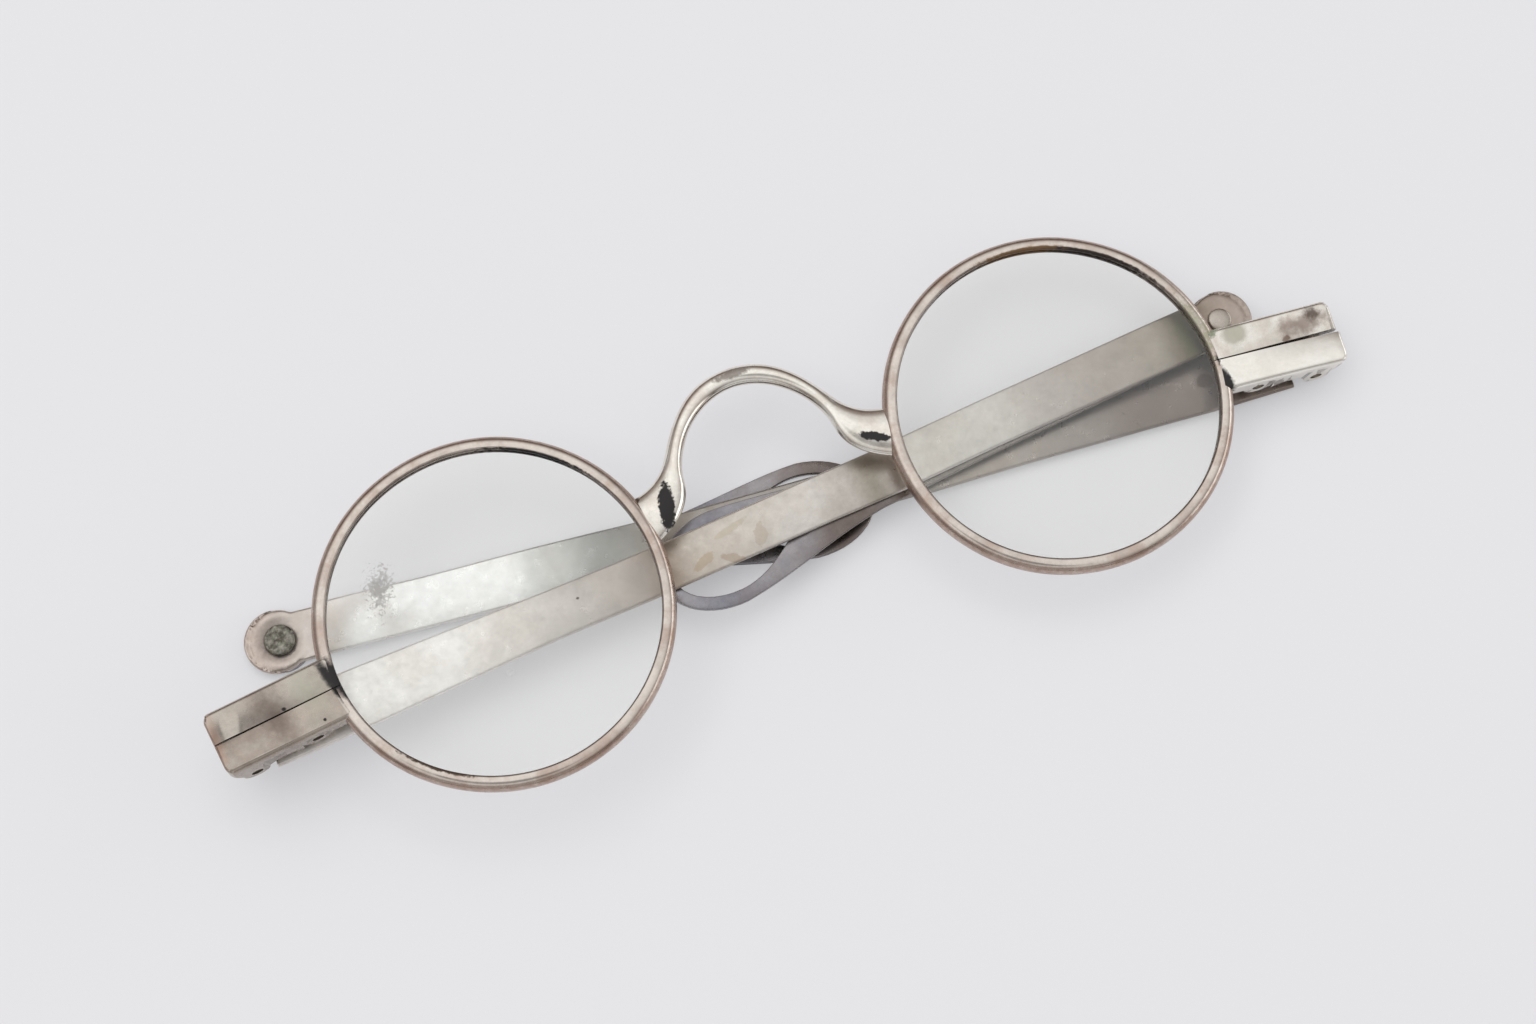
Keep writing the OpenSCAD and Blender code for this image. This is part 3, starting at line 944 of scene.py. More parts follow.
@dataclass
class Bridge:
    """The C bridge: an arch of round wire whose feet spread on the eye wires."""

    top: float = 14.15
    wire: float = 1.85
    thick: float = 1.6
    nose: float = 14.9
    foot_height: float = 4.9
    foot_y: float = 2.85
    foot_overlap: float = 0.9
    foot_sunk: float = 0.6
    eye_radius: float = 16.5
    eye_depth: float = 1.9
    steps: int = 44
    sides: int = 32

    def rails(self) -> tuple[list[Vector], list[Vector]]:
        """The outer and inner edges of the right half, from the top of the arch to the foot.

        Returns:
            Two lists of points as long as each other.
        """
        foot = STANCE.spacing / 2 - self.eye_radius + self.foot_overlap
        low, high = self.foot_y - self.foot_height / 2, self.foot_y + self.foot_height / 2
        shoulder = Vector((self.nose / 2 + self.wire * 0.42, high + 3.0))
        waist = Vector((self.nose / 2, high))
        inside = self.top - self.wire
        # Each curve is its start, the two handles that bend it, and its end.
        outer = [
            [Vector((0, self.top)), Vector((4.1, self.top)), shoulder + Vector((-1.9, 3.1)),
             shoulder],
            [shoulder, shoulder + Vector((1.1, -1.8)), Vector((foot - 1.5, high + 0.2)),
             Vector((foot + 0.7, high))],
        ]
        inner = [
            [Vector((0, inside)), Vector((3.9, inside)), waist + Vector((-0.3, 3.2)), waist],
            [waist, waist + Vector((0.3, -2.6)), Vector((foot - 2.2, low + 0.9)),
             Vector((foot + 0.2, low))],
        ]
        return self._along(outer), self._along(inner)

    def _along(self, curves: list[list[Vector]]) -> list[Vector]:
        """Walks along cubic curves in a row.

        Args:
            curves: Each curve's four points.

        Returns:
            Points in order.
        """
        points = []
        for n, p in enumerate(curves):
            for i in range(self.steps + n):
                t = i / self.steps
                points.append((1 - t) ** 3 * p[0] + 3 * t * (1 - t) ** 2 * p[1]
                              + 3 * t * t * (1 - t) * p[2] + t**3 * p[3])
        return points

    def _clear(self, out: Vector, into: Vector) -> bool:
        """Tells whether a section still shows outside the eye wire.

        Args:
            out: The section's outer edge.
            into: Its inner edge.

        Returns:
            Whether it shows.
        """
        hub = Vector((STANCE.spacing / 2, 0))
        return min((out - hub).length, (into - hub).length) > self.eye_radius - self.foot_sunk

    def build(self, material: Material) -> Piece:
        """Builds the bridge.

        Args:
            material: Its silver.

        Returns:
            The piece.
        """
        half = [pair for pair in zip(*self.rails()) if self._clear(*pair)]
        mirrored = [tuple(Vector((-p.x, p.y)) for p in pair) for pair in half[:0:-1]]
        work = bmesh.new()
        place = STANCE.front()
        rings = []
        for out, into in mirrored + half:
            middle, reach = (out + into) / 2, (out - into) / 2
            ring = []
            for k in range(self.sides):
                a = math.tau * k / self.sides
                ring.append(work.verts.new(
                    (middle.x + reach.x * math.cos(a), middle.y + reach.y * math.cos(a),
                     -self.eye_depth / 2 + self.thick / 2 * math.sin(a))))
            rings.append(ring)
        for first, second in zip(rings, rings[1:]):
            for k in range(self.sides):
                m = (k + 1) % self.sides
                work.faces.new((first[k], first[m], second[m], second[k]))
        work.faces.new(rings[0])
        work.faces.new(rings[-1])
        for vertex in work.verts:
            vertex.co = hand_made(place @ vertex.co) * MM
        bmesh.ops.recalc_face_normals(work, faces=work.faces)
        bmesh.ops.triangulate(work, faces=[f for f in work.faces if len(f.verts) > 4])
        mesh = settled(work, bpy.data.meshes.new("c_bridge"), 50)
        return new_piece("c_bridge", mesh, material, "front", Slot.SILVER, "bridge")


# ---------------------------------------------------------------- endpieces


@dataclass
class Endpieces:
    """The block endpieces, each in an upper and a lower half, and their screws."""

    edge: float = 0.26
    gape: float = 0.15
    lift: float = 0.06
    step: float = 0.22
    gape_from: float = 18.0
    gape_length: float = 9.5
    worn_from: float = 19.4
    lug_x: float = 19.05
    lug_z: float = 1.9
    hinge_x: float = 25.2
    hinge_z: float = 3.3
    height: float = 6.1
    sunk: float = 0.3
    shank: float = 0.52
    head: float = 0.85
    head_height: float = 0.5
    slot: float = 0.22

    def sizes(self, material: Optional[Material] = None) -> dict[str, Any]:
        """The inputs of the screws' tree by name."""
        return {"Shank": self.shank, "Head": self.head, "Head Height": self.head_height,
                "Length": self.height - 2 * self.sunk, "Slot": self.slot, "Material": material}

    def half(self, side: Side, part: Half, material: Material) -> Piece:
        """Dresses one half of an endpiece.

        Args:
            side: Left or right.
            part: Upper or lower.
            material: Its silver.

        Returns:
            The piece.
        """
        node = f"{side.word}_endpiece_{part.value}"
        frame_of = STANCE.side(side)
        back = frame_of.inverted()

        def move(point: Vector) -> Vector:
            """Lets the right-hand halves gape towards their outer ends, as worn ones do.

            Args:
                point: A point of the half, in millimetres.

            Returns:
                The moved point.
            """
            local = back @ point
            share = max(0.0, (local.x - self.gape_from) / self.gape_length)
            if side is Side.RIGHT and part is Half.LOWER:
                front = clamped((local.z + 2.2) / 1.2)
                local.y -= self.gape * share**1.5 * front
                local.x += self.step * min(1.0, share * 1.5) * front
            if side is Side.RIGHT and part is Half.UPPER:
                local.y += self.lift * share
            return frame_of @ local

        def wear(point: Vector) -> float:
            """Rounds the front's outer edges most and its split a little; the rest stays crisp.

            Args:
                point: The middle of an edge, in millimetres.

            Returns:
                The share of the rounding.
            """
            local = back @ point
            if local.z < -0.05 or local.x < self.worn_from:
                return 0.0
            return 1.0 if abs(local.y) > 0.3 else 0.2

        mesh = rounded_copy(node, self.edge, slices=0.8, move=move, wear=wear)
        return new_piece(node + "_half", mesh, material, "front", Slot.SILVER, node)

    def screw_tree(self) -> Tree:
        """Builds the tree that sets a slotted screw at each point, along its axis.

        Returns:
            The geometry tree.
        """
        tree, given = geometry_tree("screws", self.sizes())
        length, head_height = given["Length"], given["Head Height"]
        rod = add_node(tree, "GeometryNodeMeshCylinder",
                       {"Vertices": 32, "Radius": given["Shank"], "Depth": length})
        cap = add_node(tree, "GeometryNodeMeshCylinder",
                       {"Vertices": 48, "Radius": given["Head"], "Depth": head_height})
        rise = add_node(tree, MATHS, (length, head_height), operation="SUBTRACT")
        wide = add_node(tree, MATHS, (given["Head"], 3.0), **TIMES)
        size = add_node(tree, JOIN, (given["Slot"], wide, head_height))
        cutter = add_node(tree, "GeometryNodeMeshCube", {"Size": size})
        raised = []
        for shape, whole_rise in ((cap, rise), (cutter, length)):
            half_rise = add_node(tree, MATHS, (whole_rise, 0.5), **TIMES)
            up = add_node(tree, JOIN, {"Z": half_rise})
            raised.append(add_node(tree, "GeometryNodeTransform",
                                   {"Geometry": shape, "Translation": up}))
        whole = add_node(tree, "GeometryNodeMeshBoolean", {1: [rod, raised[0]]},
                         operation="UNION", solver="EXACT")
        slotted = add_node(tree, "GeometryNodeMeshBoolean", {0: whole, 1: raised[1]},
                           operation="DIFFERENCE", solver="EXACT")
        axis = add_node(tree, "GeometryNodeInputNamedAttribute", ("screw_axis",),
                        data_type="FLOAT_VECTOR")
        aim = add_node(tree, "FunctionNodeAlignRotationToVector", {"Vector": axis}, axis="Z")
        turn = add_node(tree, "FunctionNodeRandomValue", {"Min": 0.0, "Max": math.pi, "Seed": 4},
                        **AMOUNT)
        turned = add_node(tree, JOIN, {"Z": turn})
        spin = add_node(tree, "FunctionNodeRotateRotation", {"Rotation": aim, "Rotate By": turned},
                        rotation_space="LOCAL")
        points = add_node(tree, "GeometryNodeMeshToPoints", (given["Geometry"],))
        placed = add_node(tree, "GeometryNodeInstanceOnPoints",
                          {"Points": points, "Instance": slotted, "Rotation": spin})
        end_tree(tree, placed, given["Material"])
        return tree

    def screws(self, side: Side, tree: Tree, material: Material) -> Piece:
        """Builds a side's closing screw and hinge screw as one mesh.

        Args:
            side: Left or right.
            tree: The screws' geometry tree.
            material: Their tarnished silver.

        Returns:
            The piece.
        """
        matrix = STANCE.side(side)
        places = [matrix @ Vector((x, 0, -z))
                  for x, z in ((self.lug_x, self.lug_z), (self.hinge_x, self.hinge_z))]
        axis = (matrix.to_3x3() @ Vector((0, 1, 0))).normalized()
        base = bpy.data.meshes.new("screw_places")
        base.from_pydata([tuple(p) for p in places], [], [])
        attribute = base.attributes.new("screw_axis", "FLOAT_VECTOR", "POINT")
        attribute.data.foreach_set("vector", [c for _ in places for c in axis])
        name = side.word + "_screws"
        mesh = grown(name, base, tree, self.sizes(material), Matrix.Identity(4))
        return new_piece(name, mesh, material, "front", Slot.PIN, side.word + "_closing_screw",
                         side.word + "_hinge_screw")

    def build(self, silver: dict[tuple[Side, Half], Material], pins: Material) -> None:
        """Dresses the four halves and the screws.

        Args:
            silver: Each half's silver.
            pins: The screws' silver.
        """
        tree = self.screw_tree()
        for side in Side:
            for part in Half:
                self.half(side, part, silver[(side, part)])
            self.screws(side, tree, pins)


# ---------------------------------------------------------------- temples


@dataclass
class Temple:
    """One temple: its strap, its knuckle, its turn pin and its extension."""

    side: Side
    disc: float
    head: float
    dish: float
    rivet_rough: float = 0.0
    crumbs: Pair = (3.1, 7.3)
    dish_rim: float = 0.55
    face_depth: float = 0.25
    neck: Pair = (0.15, 0.75)
    roll: float = 0.28
    roll_width: float = 0.75
    stack: float = 1.28
    shank: float = 0.8
    tail: float = 1.2
    tail_height: float = 0.35
    head_edge: float = 0.03
    head_side: float = 0.18
    head_dome: float = 0.2
    head_top: float = 0.385
    edge: float = 0.24
    loop_edge: float = 0.2
    knuckle_edge: float = 0.08
    hinge_reach: float = 5.0

    def joint(self, kind: str) -> tuple[Vector, Vector]:
        """Reads the place of a joint of this temple, in millimetres, and its axis.

        Args:
            kind: "hinge" or "turn", as it stands in the joint's name.

        Returns:
            The place and the axis.
        """
        name = f"{self.side.word}_{kind}"
        found = next(j for j in frame["record"]["behaviour"]["joints"] if j["name"] == name)
        return Vector(found["pos_m"]) / MM, Vector(found["axis"]).normalized()

    def dished(self, point: Vector) -> Vector:
        """Hollows the disc's face round the rivet and leaves a rolled rim, but not at the neck.

        Args:
            point: A point of the strap, in millimetres.

        Returns:
            The moved point.
        """
        centre, _ = self.joint("turn")
        far = math.hypot(point.x - centre.x, point.y - centre.y)
        if far >= self.disc or point.z < centre.z - self.face_depth:
            return point
        share = 0.5 + 0.5 * math.cos(math.pi * min(1.0, far / (self.disc - self.dish_rim)) ** 2)
        toward = (point.x - centre.x) * self.side.value / max(far, 0.01)
        free = clamped((self.neck[1] - toward) / (self.neck[1] - self.neck[0]))
        outer = max(0.0, (far - self.disc + self.roll_width) / self.roll_width)
        fall = self.roll * (1 - math.sqrt(max(0.0, 1 - outer**2))) * free
        return Vector((point.x, point.y, point.z - self.dish * share - fall))

    def wear(self, point: Vector) -> float:
        """Rounds the strap's long edges and its disc, and leaves the hinge end crisp.

        Args:
            point: The middle of an edge, in millimetres.

        Returns:
            The share of the rounding.
        """
        hinge, _ = self.joint("hinge")
        return 1.0 if abs(point.x - hinge.x) > self.hinge_reach else 0.2

    def rivet(self, material: Material) -> Piece:
        """Builds the turn pin with its hammered head and its tail.

        Args:
            material: Its silver.

        Returns:
            The piece.
        """
        origin, axis = self.joint("turn")
        up = axis if axis.z > 0 else -axis
        head, low = self.head, -self.stack
        section = [(0.0, low), (self.tail, low), (self.shank, low + self.tail_height),
                   (self.shank, -self.dish), (head - self.head_edge, -self.dish),
                   (head, -self.dish + self.head_edge), (head, self.head_side)]
        section += [(head * math.cos(a), self.head_side + self.head_dome * math.sin(a))
                    for a in (math.radians(7.5 * k) for k in range(1, 12))]
        section += [(0.0, self.head_top)]
        place = Matrix.Translation(origin) @ up.to_track_quat("Z", "Y").to_matrix().to_4x4()
        name = self.side.word + "_rivet"
        mesh = lathe(name, section, 72, place)
        for vertex in mesh.vertices:
            point = vertex.co / MM
            if (point - origin).dot(up) > 0.1:
                coarse, fine = (abs(noise.noise(point * scale)) for scale in self.crumbs)
                drop = coarse + 0.5 * fine
                vertex.co = (point - up * drop * self.rivet_rough) * MM
        return new_piece(name, mesh, material, self.side.word + "_arm", Slot.PIN,
                         self.side.word + "_turn_pin")

    def build(self, strap: Material, loop: Material, pin: Material) -> None:
        """Dresses the temple.

        Args:
            strap: The strap's silver.
            loop: The extension's silver.
            pin: The rivet's silver.
        """
        word = self.side.word
        centre, _ = self.joint("turn")
        face = rounded_copy(f"{word}_temple", self.edge, move=self.dished, wear=self.wear,
                            patch=(centre.x, centre.y, self.disc))
        new_piece(f"{word}_strap", face, strap, f"{word}_arm", Slot.SILVER, f"{word}_temple")
        knuckle = rounded_copy(f"{word}_knuckle", self.knuckle_edge, slices=1.0)
        new_piece(f"{word}_hinge_knuckle", knuckle, strap, f"{word}_arm", Slot.SILVER,
                  f"{word}_knuckle")
        self.rivet(pin)
        new_piece(f"{word}_loop_strap", rounded_copy(f"{word}_extension", self.loop_edge), loop,
                  f"{word}_loop", Slot.SILVER, f"{word}_extension")


# ---------------------------------------------------------------- setting


@dataclass
class Setting:
    """The pale sheet, the soft light and the camera of the photograph."""

    camera_at: Triple = (-24.303, -59.245, 240.898)
    right: Triple = (0.929906, -0.367793, -0.001793)
    down: Triple = (-0.355366, -0.897209, -0.262166)
    ahead: Triple = (0.094814, 0.244427, -0.965021)
    lens: float = 61.6875
    sensor: float = 36.0
    sheet: str = "e6e6e9"
    sheet_seen: str = "e2e2e5"
    sheet_even: float = 0.4
    sheet_size: float = 1600.0
    sheet_drop: float = 0.02
    room: Hues = ((0.0, "54463f"), (0.25, "6f625b"), (0.5, "968e8a"), (0.75, "e0dedd"),
                  (0.92, "ffffff"), (1.0, "ffffff"))
    room_strength: float = 1.15
    room_sides: Pair = (1.15, 0.75)
    room_ends: Pair = (0.7, 1.2)
    flag_at: Triple = (-0.10, -0.25, 0.963)
    flag_span: Pair = (0.95, 0.992)
    flag_light: float = 0.4
    panels: tuple[Pair, ...] = ((-10.0, 1.6), (-105.0, 0.62), (165.0, 0.5))
    panel_low: Pair = (0.04, 0.14)
    panel_high: Pair = (0.62, 0.48)
    panel_span: Pair = (0.6, 0.85)
    lamp_at: Triple = (-0.2, 0.2, 1.2)
    lamp_size: Pair = (1.4, 1.1)
    lamp_power: float = 6.1

    def floor(self) -> None:
        """Lays the pale sheet under the spectacles."""
        half = self.sheet_size / 2 * MM
        mesh = bpy.data.meshes.new("pale_sheet")
        mesh.from_pydata([(-half, -half, 0), (half, -half, 0), (half, half, 0), (-half, half, 0)],
                         [], [(0, 1, 2, 3)])
        # Matte white paper: to the eye one even pale grey, with a soft shadow under the spectacles.
        material, tree = empty_material("matte_white_paper")
        shader = add_node(tree, "ShaderNodeBsdfPrincipled",
                          {"Base Color": linear(self.sheet), "Roughness": 0.9,
                           "Specular IOR Level": 0.1})
        even = add_node(tree, "ShaderNodeEmission", (linear(self.sheet_seen),))
        ray = add_node(tree, "ShaderNodeLightPath").outputs
        seen = add_node(tree, MATHS, (ray["Is Camera Ray"], ray["Is Transmission Ray"]),
                        operation="MAXIMUM")
        share = add_node(tree, MATHS, (seen, self.sheet_even), **TIMES)
        both = add_node(tree, "ShaderNodeMixShader", (share, shader, even))
        add_node(tree, OUTPUT, (both,))
        mesh.materials.append(material)
        sheet = bpy.data.objects.new("pale_sheet", mesh)
        bpy.context.scene.collection.objects.link(sheet)
        sheet.location.z = -self.sheet_drop * MM

    def light(self) -> None:
        """Sets the room's light, its bright panels and one large soft lamp overhead."""
        world = bpy.data.worlds.new("studio")
        bpy.context.scene.world = world
        world.use_nodes = True
        tree = world.node_tree
        tree.nodes.clear()
        way = add_node(tree, "ShaderNodeTexCoord").outputs["Generated"]
        x, y, z = add_node(tree, SPLIT, (way,)).outputs
        height = add_node(tree, REMAP, (z,))
        shade = add_node(tree, RAMP, (height,), self.room)
        toward = add_node(tree, VECTOR, (way, self.flag_at), operation="DOT_PRODUCT")
        flag = add_node(tree, REMAP, (toward, *self.flag_span, 1.0, self.flag_light), **SMOOTH)
        sides = add_node(tree, REMAP, (x, -1.0, 1.0, *self.room_sides))
        ends = add_node(tree, REMAP, (y, -1.0, 1.0, *self.room_ends))
        across = add_node(tree, MATHS, (sides, ends), **TIMES)
        level = add_node(tree, MATHS, (across, flag), **TIMES)
        power = add_node(tree, MATHS, (level, self.room_strength), **TIMES)
        low = add_node(tree, REMAP, (z, *self.panel_low, 0.0, 1.0), **SMOOTH)
        high = add_node(tree, REMAP, (z, *self.panel_high, 0.0, 1.0), **SMOOTH)
        band = add_node(tree, MATHS, (low, high), **TIMES)
        light = add_node(tree, VECTOR, {0: shade, "Scale": power}, operation="SCALE")
        for turn, bright in self.panels:
            to = (math.cos(math.radians(turn)), math.sin(math.radians(turn)), 0.0)
            facing = add_node(tree, VECTOR, (way, to), operation="DOT_PRODUCT")
            wide = add_node(tree, REMAP, (facing, *self.panel_span, 0.0, bright), **SMOOTH)
            lit = add_node(tree, MATHS, (band, wide), **TIMES)
            white = add_node(tree, JOIN, (lit, lit, lit))
            light = add_node(tree, VECTOR, (light, white), operation="MAXIMUM")
        glow = add_node(tree, "ShaderNodeBackground", (light,))
        add_node(tree, "ShaderNodeOutputWorld", (glow,))
        softbox = bpy.data.lights.new("overhead_softbox", "AREA")
        softbox.shape = "RECTANGLE"
        softbox.size, softbox.size_y = self.lamp_size
        softbox.energy = self.lamp_power
        lamp = bpy.data.objects.new("overhead_softbox", softbox)
        bpy.context.scene.collection.objects.link(lamp)
        lamp.location = Vector(self.lamp_at)
        lamp.rotation_euler = (-lamp.location).to_track_quat("-Z", "Y").to_euler()
        lamp.visible_glossy = False
        lamp.visible_transmission = False

    def camera(self) -> None:
        """Puts the camera where the photograph was taken from."""
        data = bpy.data.cameras.new("photograph")
        data.sensor_width = self.sensor
        data.lens = self.lens
        data.clip_start, data.clip_end = 0.01, 10.0
        camera = bpy.data.objects.new("photograph", data)
        bpy.context.scene.collection.objects.link(camera)
        axes = (Vector(self.right), -Vector(self.down), -Vector(self.ahead))
        turn = Matrix(axes).transposed().to_4x4()
        camera.matrix_world = Matrix.Translation(Vector(self.camera_at) * MM) @ turn
        bpy.context.scene.camera = camera

    def build(self) -> None:
        """Builds the floor, the light and the camera."""
        self.floor()
        self.light()
        self.camera()
        bpy.context.scene.view_settings.view_transform = "Standard"


# ---------------------------------------------------------------- this object's finishes


BLACK, UMBER, VERDIGRIS_AND_GREEN_REFLECTION = "1b1818", "4a3a2e", "5f7048"
ARC = Shape.ARC


def eye_silver(side: Side) -> CoinSilver:
    """The silver of an eye wire: tan tarnish on its outer edge, a thin painted dark reflection
    along the lens, and dark residue in patches.

    Args:
        side: Left or right.

    Returns:
        The finish.
    """
    whole = (27.9, 0.0, 7.0) if side is Side.RIGHT else (-27.9, 0.0, 9.5)
    ring = dict(size=(30.0, 30.0, 12.0), shape=ARC, ragged=0.3)
    shared = (Stain(whole, colour="94715f", cover=0.8, ring=(16.5, 0.5), soft=0.4, metal=0.95,
                    **ring),
              # Painted reflection: the thin dark line along the lens edge.
              Stain(whole, colour="4a3d34", cover=0.55, ring=(15.2, 0.13), soft=0.3, metal=0.7,
                    **ring))
    if side is Side.LEFT:
        own = (Stain((-19.5, 12.3, 9.2), (6.5, 3.6, 6.0), BLACK, turn=-35.0, ring=(15.16, 0.22),
                     shape=ARC, ragged=0.9, metal=0.1),
               Stain((-37.0, -11.5, 9.7), (4.5, 4.0, 6.0), UMBER, turn=-50.0, ring=(15.2, 0.34),
                     shape=ARC, ragged=0.9, metal=0.2),
               Stain((-43.0, -1.2, 10.1), (1.0, 3.4, 3.0), BLACK, turn=20.0, metal=0.2))
    else:
        own = (Stain((36.0, 12.5, 6.8), (9.0, 6.0, 6.0), "2a211b", turn=-35.0, ring=(15.15, 0.26),
                     shape=ARC, ragged=0.7, metal=0.1),
               Stain((30.0, 15.0, 7.1), (5.0, 3.0, 6.0), "6b5136", ring=(15.2, 0.3), shape=ARC,
                     ragged=0.7, metal=0.2),
               Stain((42.3, 1.5, 6.5), (2.0, 4.4, 4.0), "8d9272", cover=0.5, ring=(15.6, 0.5),
                     shape=ARC, ragged=1.2, metal=0.5),
               Stain((43.9, -1.6, 6.4), (0.8, 1.2, 2.0), BLACK, ragged=0.5, metal=0.2))
    # Satin silver wire: to the eye a bright ridge between a tan outer edge and a dark inner line;
    # the thin dark inner line is a painted reflection.
    return CoinSilver(f"satin_coin_silver_{side.word}_eye_wire", tone="d8cec5", warm="a98f80",
                      cool="bdb3ab", roughness=0.13, cloud=3.5, cloud_amount=0.6, mottle=0.06,
                      dirt=0.2, dirt_reach=0.25, stains=shared + own)


def block_silver(side: Side, part: Half) -> CoinSilver:
    """The silver of half an endpiece, with the tarnish that the photograph shows on it.

    Args:
        side: Left or right.
        part: Upper or lower.

    Returns:
        The finish.
    """
    if side is Side.LEFT:
        # Worn silver gone tan-grey: to the eye a dull metal with a brown band and a black seam.
        stains = (Stain((-43.4, -1.5, 10.1), (0.75, 3.9, 3.0), BLACK, turn=20.0, metal=0.15),
                  Stain((-49.3, -2.2, 10.3), (2.1, 5.0, 4.0), "70625a", turn=15.0, cover=0.7,
                        soft=0.5, metal=0.9),
                  Stain((-45.9, -1.0, 10.2), (2.2, 4.0, 4.0), "b9baa9", turn=15.0, cover=0.55,
                        soft=0.5, metal=0.95),
                  *(Stain(place, size, BLACK, ragged=0.3, metal=0.1) for place, size in (
                      ((-48.4, -1.9, 10.4), (0.28, 0.24, 0.5)),
                      ((-45.3, -4.1, 10.2), (0.2, 0.2, 0.5)),
                      ((-50.4, 0.9, 10.5), (0.22, 0.2, 0.5)))),
                  Stain((-55.0, -2.5, 10.0), (1.0, 4.0, 4.0), "c09a88", cover=0.6, soft=0.5,
                        metal=0.95))
        return CoinSilver(f"worn_coin_silver_left_{part.value}_block",
                          tone="bdb4aa" if part is Half.UPPER else "b4a99e", warm="93837a",
                          cool="adaaa0", roughness=0.22, cloud=3.5, mottle=0.08, stains=stains)
    if part is Half.UPPER:
        # Stained silver: to the eye a pale metal with a brown-purple bloom and a greenish oval.
        stains = (Stain((52.6, -1.4, 6.1), (3.3, 1.9, 3.0), "8d7a70", turn=-6.0, cover=0.75,
                        ragged=1.0, grain=1.6, soft=0.45, metal=0.9),
                  Stain((53.6, -0.6, 6.1), (1.1, 1.0, 3.0), "54443a", cover=0.8, ragged=0.8,
                        soft=0.4, metal=0.8),
                  Stain((50.3, -2.0, 6.1), (0.5, 0.4, 3.0), "6a4f40", cover=0.7, ragged=0.8,
                        metal=0.7),
                  Stain((45.9, 0.2, 6.3), (1.6, 1.35, 2.0), "b1ae9c", cover=0.7, ragged=0.15,
                        metal=0.95),
                  Stain((43.9, 1.2, 6.4), (0.8, 0.8, 2.0), VERDIGRIS_AND_GREEN_REFLECTION, cover=0.7, ragged=1.2,
                        metal=0.2))
        return CoinSilver("stained_coin_silver_right_upper_block", tone="ece8e0", warm="c6b7ab",
                          cool="d2d0c5", roughness=0.2, cloud=3.0, mottle=0.05, stains=stains)
    # Polished silver: to the eye a cream-white face with a black seam at the eye wire.
    stains = (Stain((43.3, -3.6, 6.4), (0.7, 2.0, 3.0), BLACK, turn=10.0, ragged=0.5, metal=0.15),)
    return CoinSilver("polished_coin_silver_right_lower_block", tone="f4f1ea", warm="e2dacd",
                      cool="dddccf", roughness=0.17, cloud=3.5, cloud_amount=0.35, mottle=0.03,
                      dirt=0.5, stains=stains)


def bridge_silver() -> CoinSilver:
    """The bridge's silver, bright on its ridge, with the black solder scale left on both feet.

    Returns:
        The finish.
    """
    stains = (Stain((-9.9, 3.5, 8.8), (0.85, 2.7, 2.0), BLACK, turn=-14.0, ragged=0.55, soft=0.12,
                    metal=0.1),
              Stain((10.4, 3.0, 7.9), (1.75, 0.5, 2.0), BLACK, turn=-28.0, ragged=0.6, soft=0.12,
                    metal=0.1),
              Stain((0.2, 13.3, 8.3), (2.4, 0.5, 2.0), "5a4d44", cover=0.7, ragged=0.8, metal=0.5),
              Stain((-12.3, 5.2, 8.9), (0.5, 0.6, 2.0), UMBER, ragged=0.6, metal=0.3))
    # Satin wire: to the eye one long highlight along the bow, with creamy flattened feet.
    return CoinSilver("satin_coin_silver_bridge", tone="f2eee6", warm="d2c2b4", cool="dad8cd",
                      roughness=0.14, cloud=3.5, cloud_amount=0.45, mottle=0.06, stains=stains)


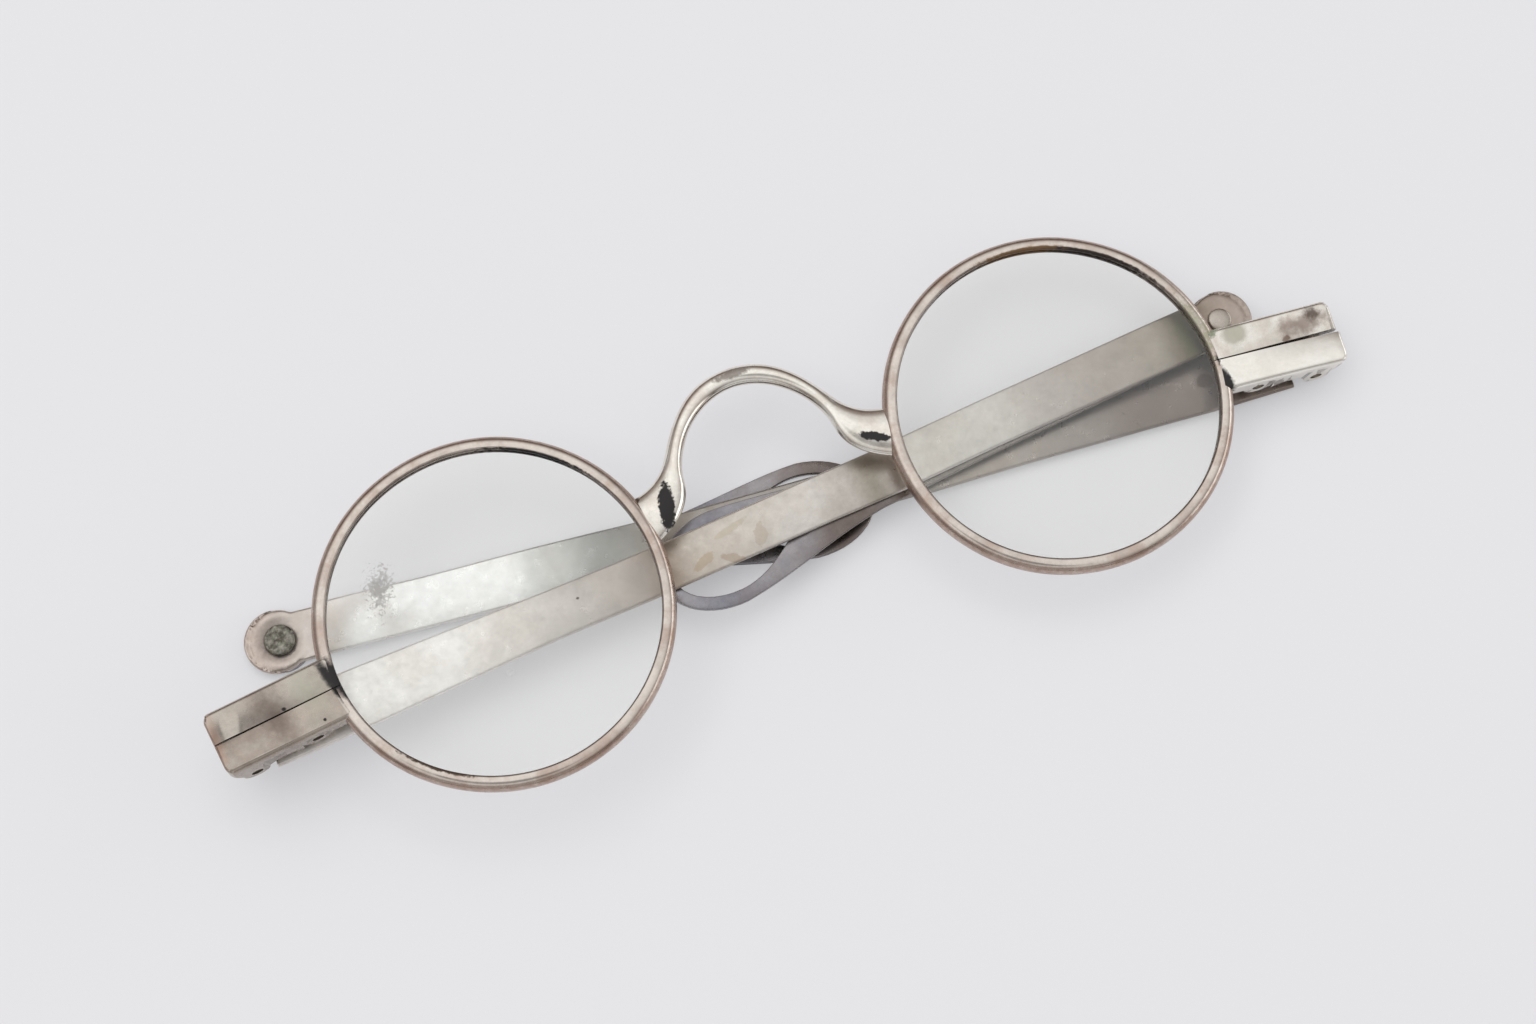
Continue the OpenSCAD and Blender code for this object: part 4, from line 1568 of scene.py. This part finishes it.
def strap_silver(side: Side) -> CoinSilver:
    """The silver of a temple's strap, toned along its length as the photograph shows it: painted
    reflection and shade as well as tarnish.

    Args:
        side: Left or right.

    Returns:
        The finish.
    """
    if side is Side.RIGHT:
        # Brushed flat strap: to the eye near-white at its free end, brown-grey near its hinge; the
        # fade paints the bright end as a reflection and the brown-grey as dark reflection and
        # tarnish.
        fade = ((-50.0, "cabdb4"), (-44.0, "d0c9c2"), (-39.5, "ffffff"), (-27.0, "ffffff"),
                (-22.0, "d2d2d0"), (-17.0, "9c9b98"), (-12.0, "a8a49e"), (5.0, "a9a5a0"),
                (22.0, "b4aca6"), (29.0, "9f9792"), (36.0, "857a75"), (50.0, "8d817a"))
        stains = (Stain((-47.95, 6.75, 1.3), (2.5, 2.5, 2.0), "4d4640", cover=0.92, ragged=0.3,
                        soft=0.5, metal=0.85),
                  # Painted shade: a dark oval spot on the strap near its hinge.
                  Stain((42.4, -1.9, 1.3), (1.0, 0.85, 1.0), "5b4a42", cover=0.8, ragged=0.2,
                        soft=0.2, metal=0.8))
        return CoinSilver("brushed_coin_silver_right_strap", tone="ffffff", warm="f2e8e0",
                          cool="f1f2ef", cloud=6.0, cloud_amount=0.4, mottle=0.06, brush_turn=-4.0,
                          fade=fade, stains=stains)
    # Brushed flat strap: to the eye an even grey-white with brown water marks near the bridge; its
    # fade also paints reflections, such as the dark band next to the right eye wire.
    fade = ((-52.0, "e0dcd8"), (-40.0, "ffffff"), (-33.0, "fffefe"), (-28.0, "f0edeb"),
            (-22.0, "d4cfcc"), (-16.0, "c0b8b3"), (-12.5, "ab9e92"), (-8.0, "d2ccc3"),
            (3.0, "dcd9d4"), (6.5, "c8c3bd"), (9.2, "aaa59b"), (12.5, "e4e1dd"), (22.0, "dedcd9"),
            (28.0, "c3bdb9"), (34.0, "b9b1ac"), (38.5, "b1a9a1"), (42.5, "706856"),
            (47.0, "b8aca3"))
    mark = dict(ragged=0.9, soft=0.08, grain=0.9, metal=0.97)
    stains = (Stain((-14.8, -0.9, 4.9), (2.2, 2.2, 2.0), "a59b96", cover=0.6, soft=0.5, metal=0.95),
              Stain((-20.6, -0.8, 5.0), (0.2, 0.16, 0.5), UMBER, ragged=0.3, metal=0.3),
              Stain((-8.2, -1.6, 4.7), (1.3, 0.5, 1.0), "b9a68e", cover=0.55, turn=20.0, **mark),
              Stain((-5.6, -2.3, 4.7), (1.4, 0.45, 1.0), "b3a08c", cover=0.55, turn=-25.0, **mark),
              Stain((-2.5, -1.2, 4.6), (0.6, 1.3, 1.0), "bcae9c", cover=0.5, turn=-20.0, **mark),
              Stain((-5.0, 0.4, 4.6), (1.9, 0.4, 1.0), "c2b8a4", cover=0.5, turn=15.0, **mark),
              # Painted reflection: a greenish tint on the strap next to the right eye wire.
              Stain((42.3, 2.6, 3.5), (1.0, 3.0, 2.0), VERDIGRIS_AND_GREEN_REFLECTION, cover=0.25, ragged=0.9,
                    metal=0.7))
    return CoinSilver("brushed_coin_silver_left_strap", tone="fcfaf8", warm="e4dad2", cool="e3e2e0",
                      roughness=0.32, cloud_amount=0.4, mottle=0.08, brush_turn=1.0, fade=fade,
                      stains=stains)


def loop_silver(side: Side) -> CoinSilver:
    """The silver of an extension: bluish-grey tarnish, with a tone that is darker towards its eye
    end.

    Args:
        side: Left or right.

    Returns:
        The finish.
    """
    # Tarnished silver: to the eye a slate-grey metal with paler rubbed edges.
    fade = ((-14.0, "c6c5ca"), (-7.0, "a9a9b2"), (0.0, "bab7bb"), (5.0, "938985"), (14.0, "aaa39e"))
    return CoinSilver(f"tarnished_coin_silver_{side.word}_loop", tone="dcdad8", warm="c2b6ae",
                      cool="c0c2c8", roughness=0.28, cloud=4.0, fade=fade)


def pin_silver(side: Side) -> CoinSilver:
    """The silver of a turn pin: the left side's is smooth, the right side's is pitted.

    Args:
        side: Left or right.

    Returns:
        The finish.
    """
    if side is Side.LEFT:
        # Smooth riveted head: to the eye a soft grey boss.
        return CoinSilver("smooth_silver_left_rivet", tone="c4bcb2", warm="a99d92", cool="b4b2a8",
                          roughness=0.25)
    # Corroded riveted head: to the eye rough, with grey-green crumbs between brighter points.
    return CoinSilver("pitted_silver_right_rivet", tone="aaa69c", warm="5d584e", cool="8d9382",
                      roughness=0.38, cloud=0.7, cloud_amount=0.9, mottle=0.45, pit=0.02, rub=0.0)


def lens_glass(side: Side) -> LensGlass:
    """The glass of a lens; the left one has a scratched smudge.

    Args:
        side: Left or right.

    Returns:
        The finish.
    """
    # Polished crown glass: to the eye clear, with the straps behind it sharp and a faint shadow.
    smudge = Stain((-37.0, 5.6, 9.6), (0.8, 1.4, 3.0), "5a5048", turn=-20.0, cover=0.6, ragged=4.0,
                   soft=0.1, grain=0.3)
    speck = Stain((-28.5, -5.9, 9.4), (0.4, 0.25, 3.0), "8e8f90", cover=0.25, ragged=1.6, grain=0.3)
    return LensGlass(f"polished_crown_glass_{side.word}",
                     stains=(smudge, speck) if side is Side.LEFT else ())


def main() -> None:
    """Builds every piece in order."""
    logging.basicConfig(level=logging.INFO, format="%(message)s")
    noise.seed_set(HAND_SEED)
    Setting().build()
    Eyes().build({side: eye_silver(side).build() for side in Side},
                 {side: lens_glass(side).build() for side in Side})
    Bridge().build(bridge_silver().build())
    # Tarnished screws: to the eye dark dots in the endpieces' walls; the strong corner darkening
    # adds painted shade of the recessed holes to their tarnish.
    screws = CoinSilver("tarnished_silver_screws", tone="8a8178", warm="6d6259", cool="767769",
                        roughness=0.36, dirt=0.95, rub=0.0).build()
    blocks = {(side, part): block_silver(side, part).build() for side in Side for part in Half}
    Endpieces().build(blocks, screws)
    for temple in (Temple(Side.LEFT, disc=2.85, head=1.1, dish=0.08),
                   Temple(Side.RIGHT, disc=3.05, head=1.45, dish=0.3, rivet_rough=0.12)):
        temple.build(strap_silver(temple.side).build(), loop_silver(temple.side).build(),
                     pin_silver(temple.side).build())


if __name__ == "__main__":
    main()
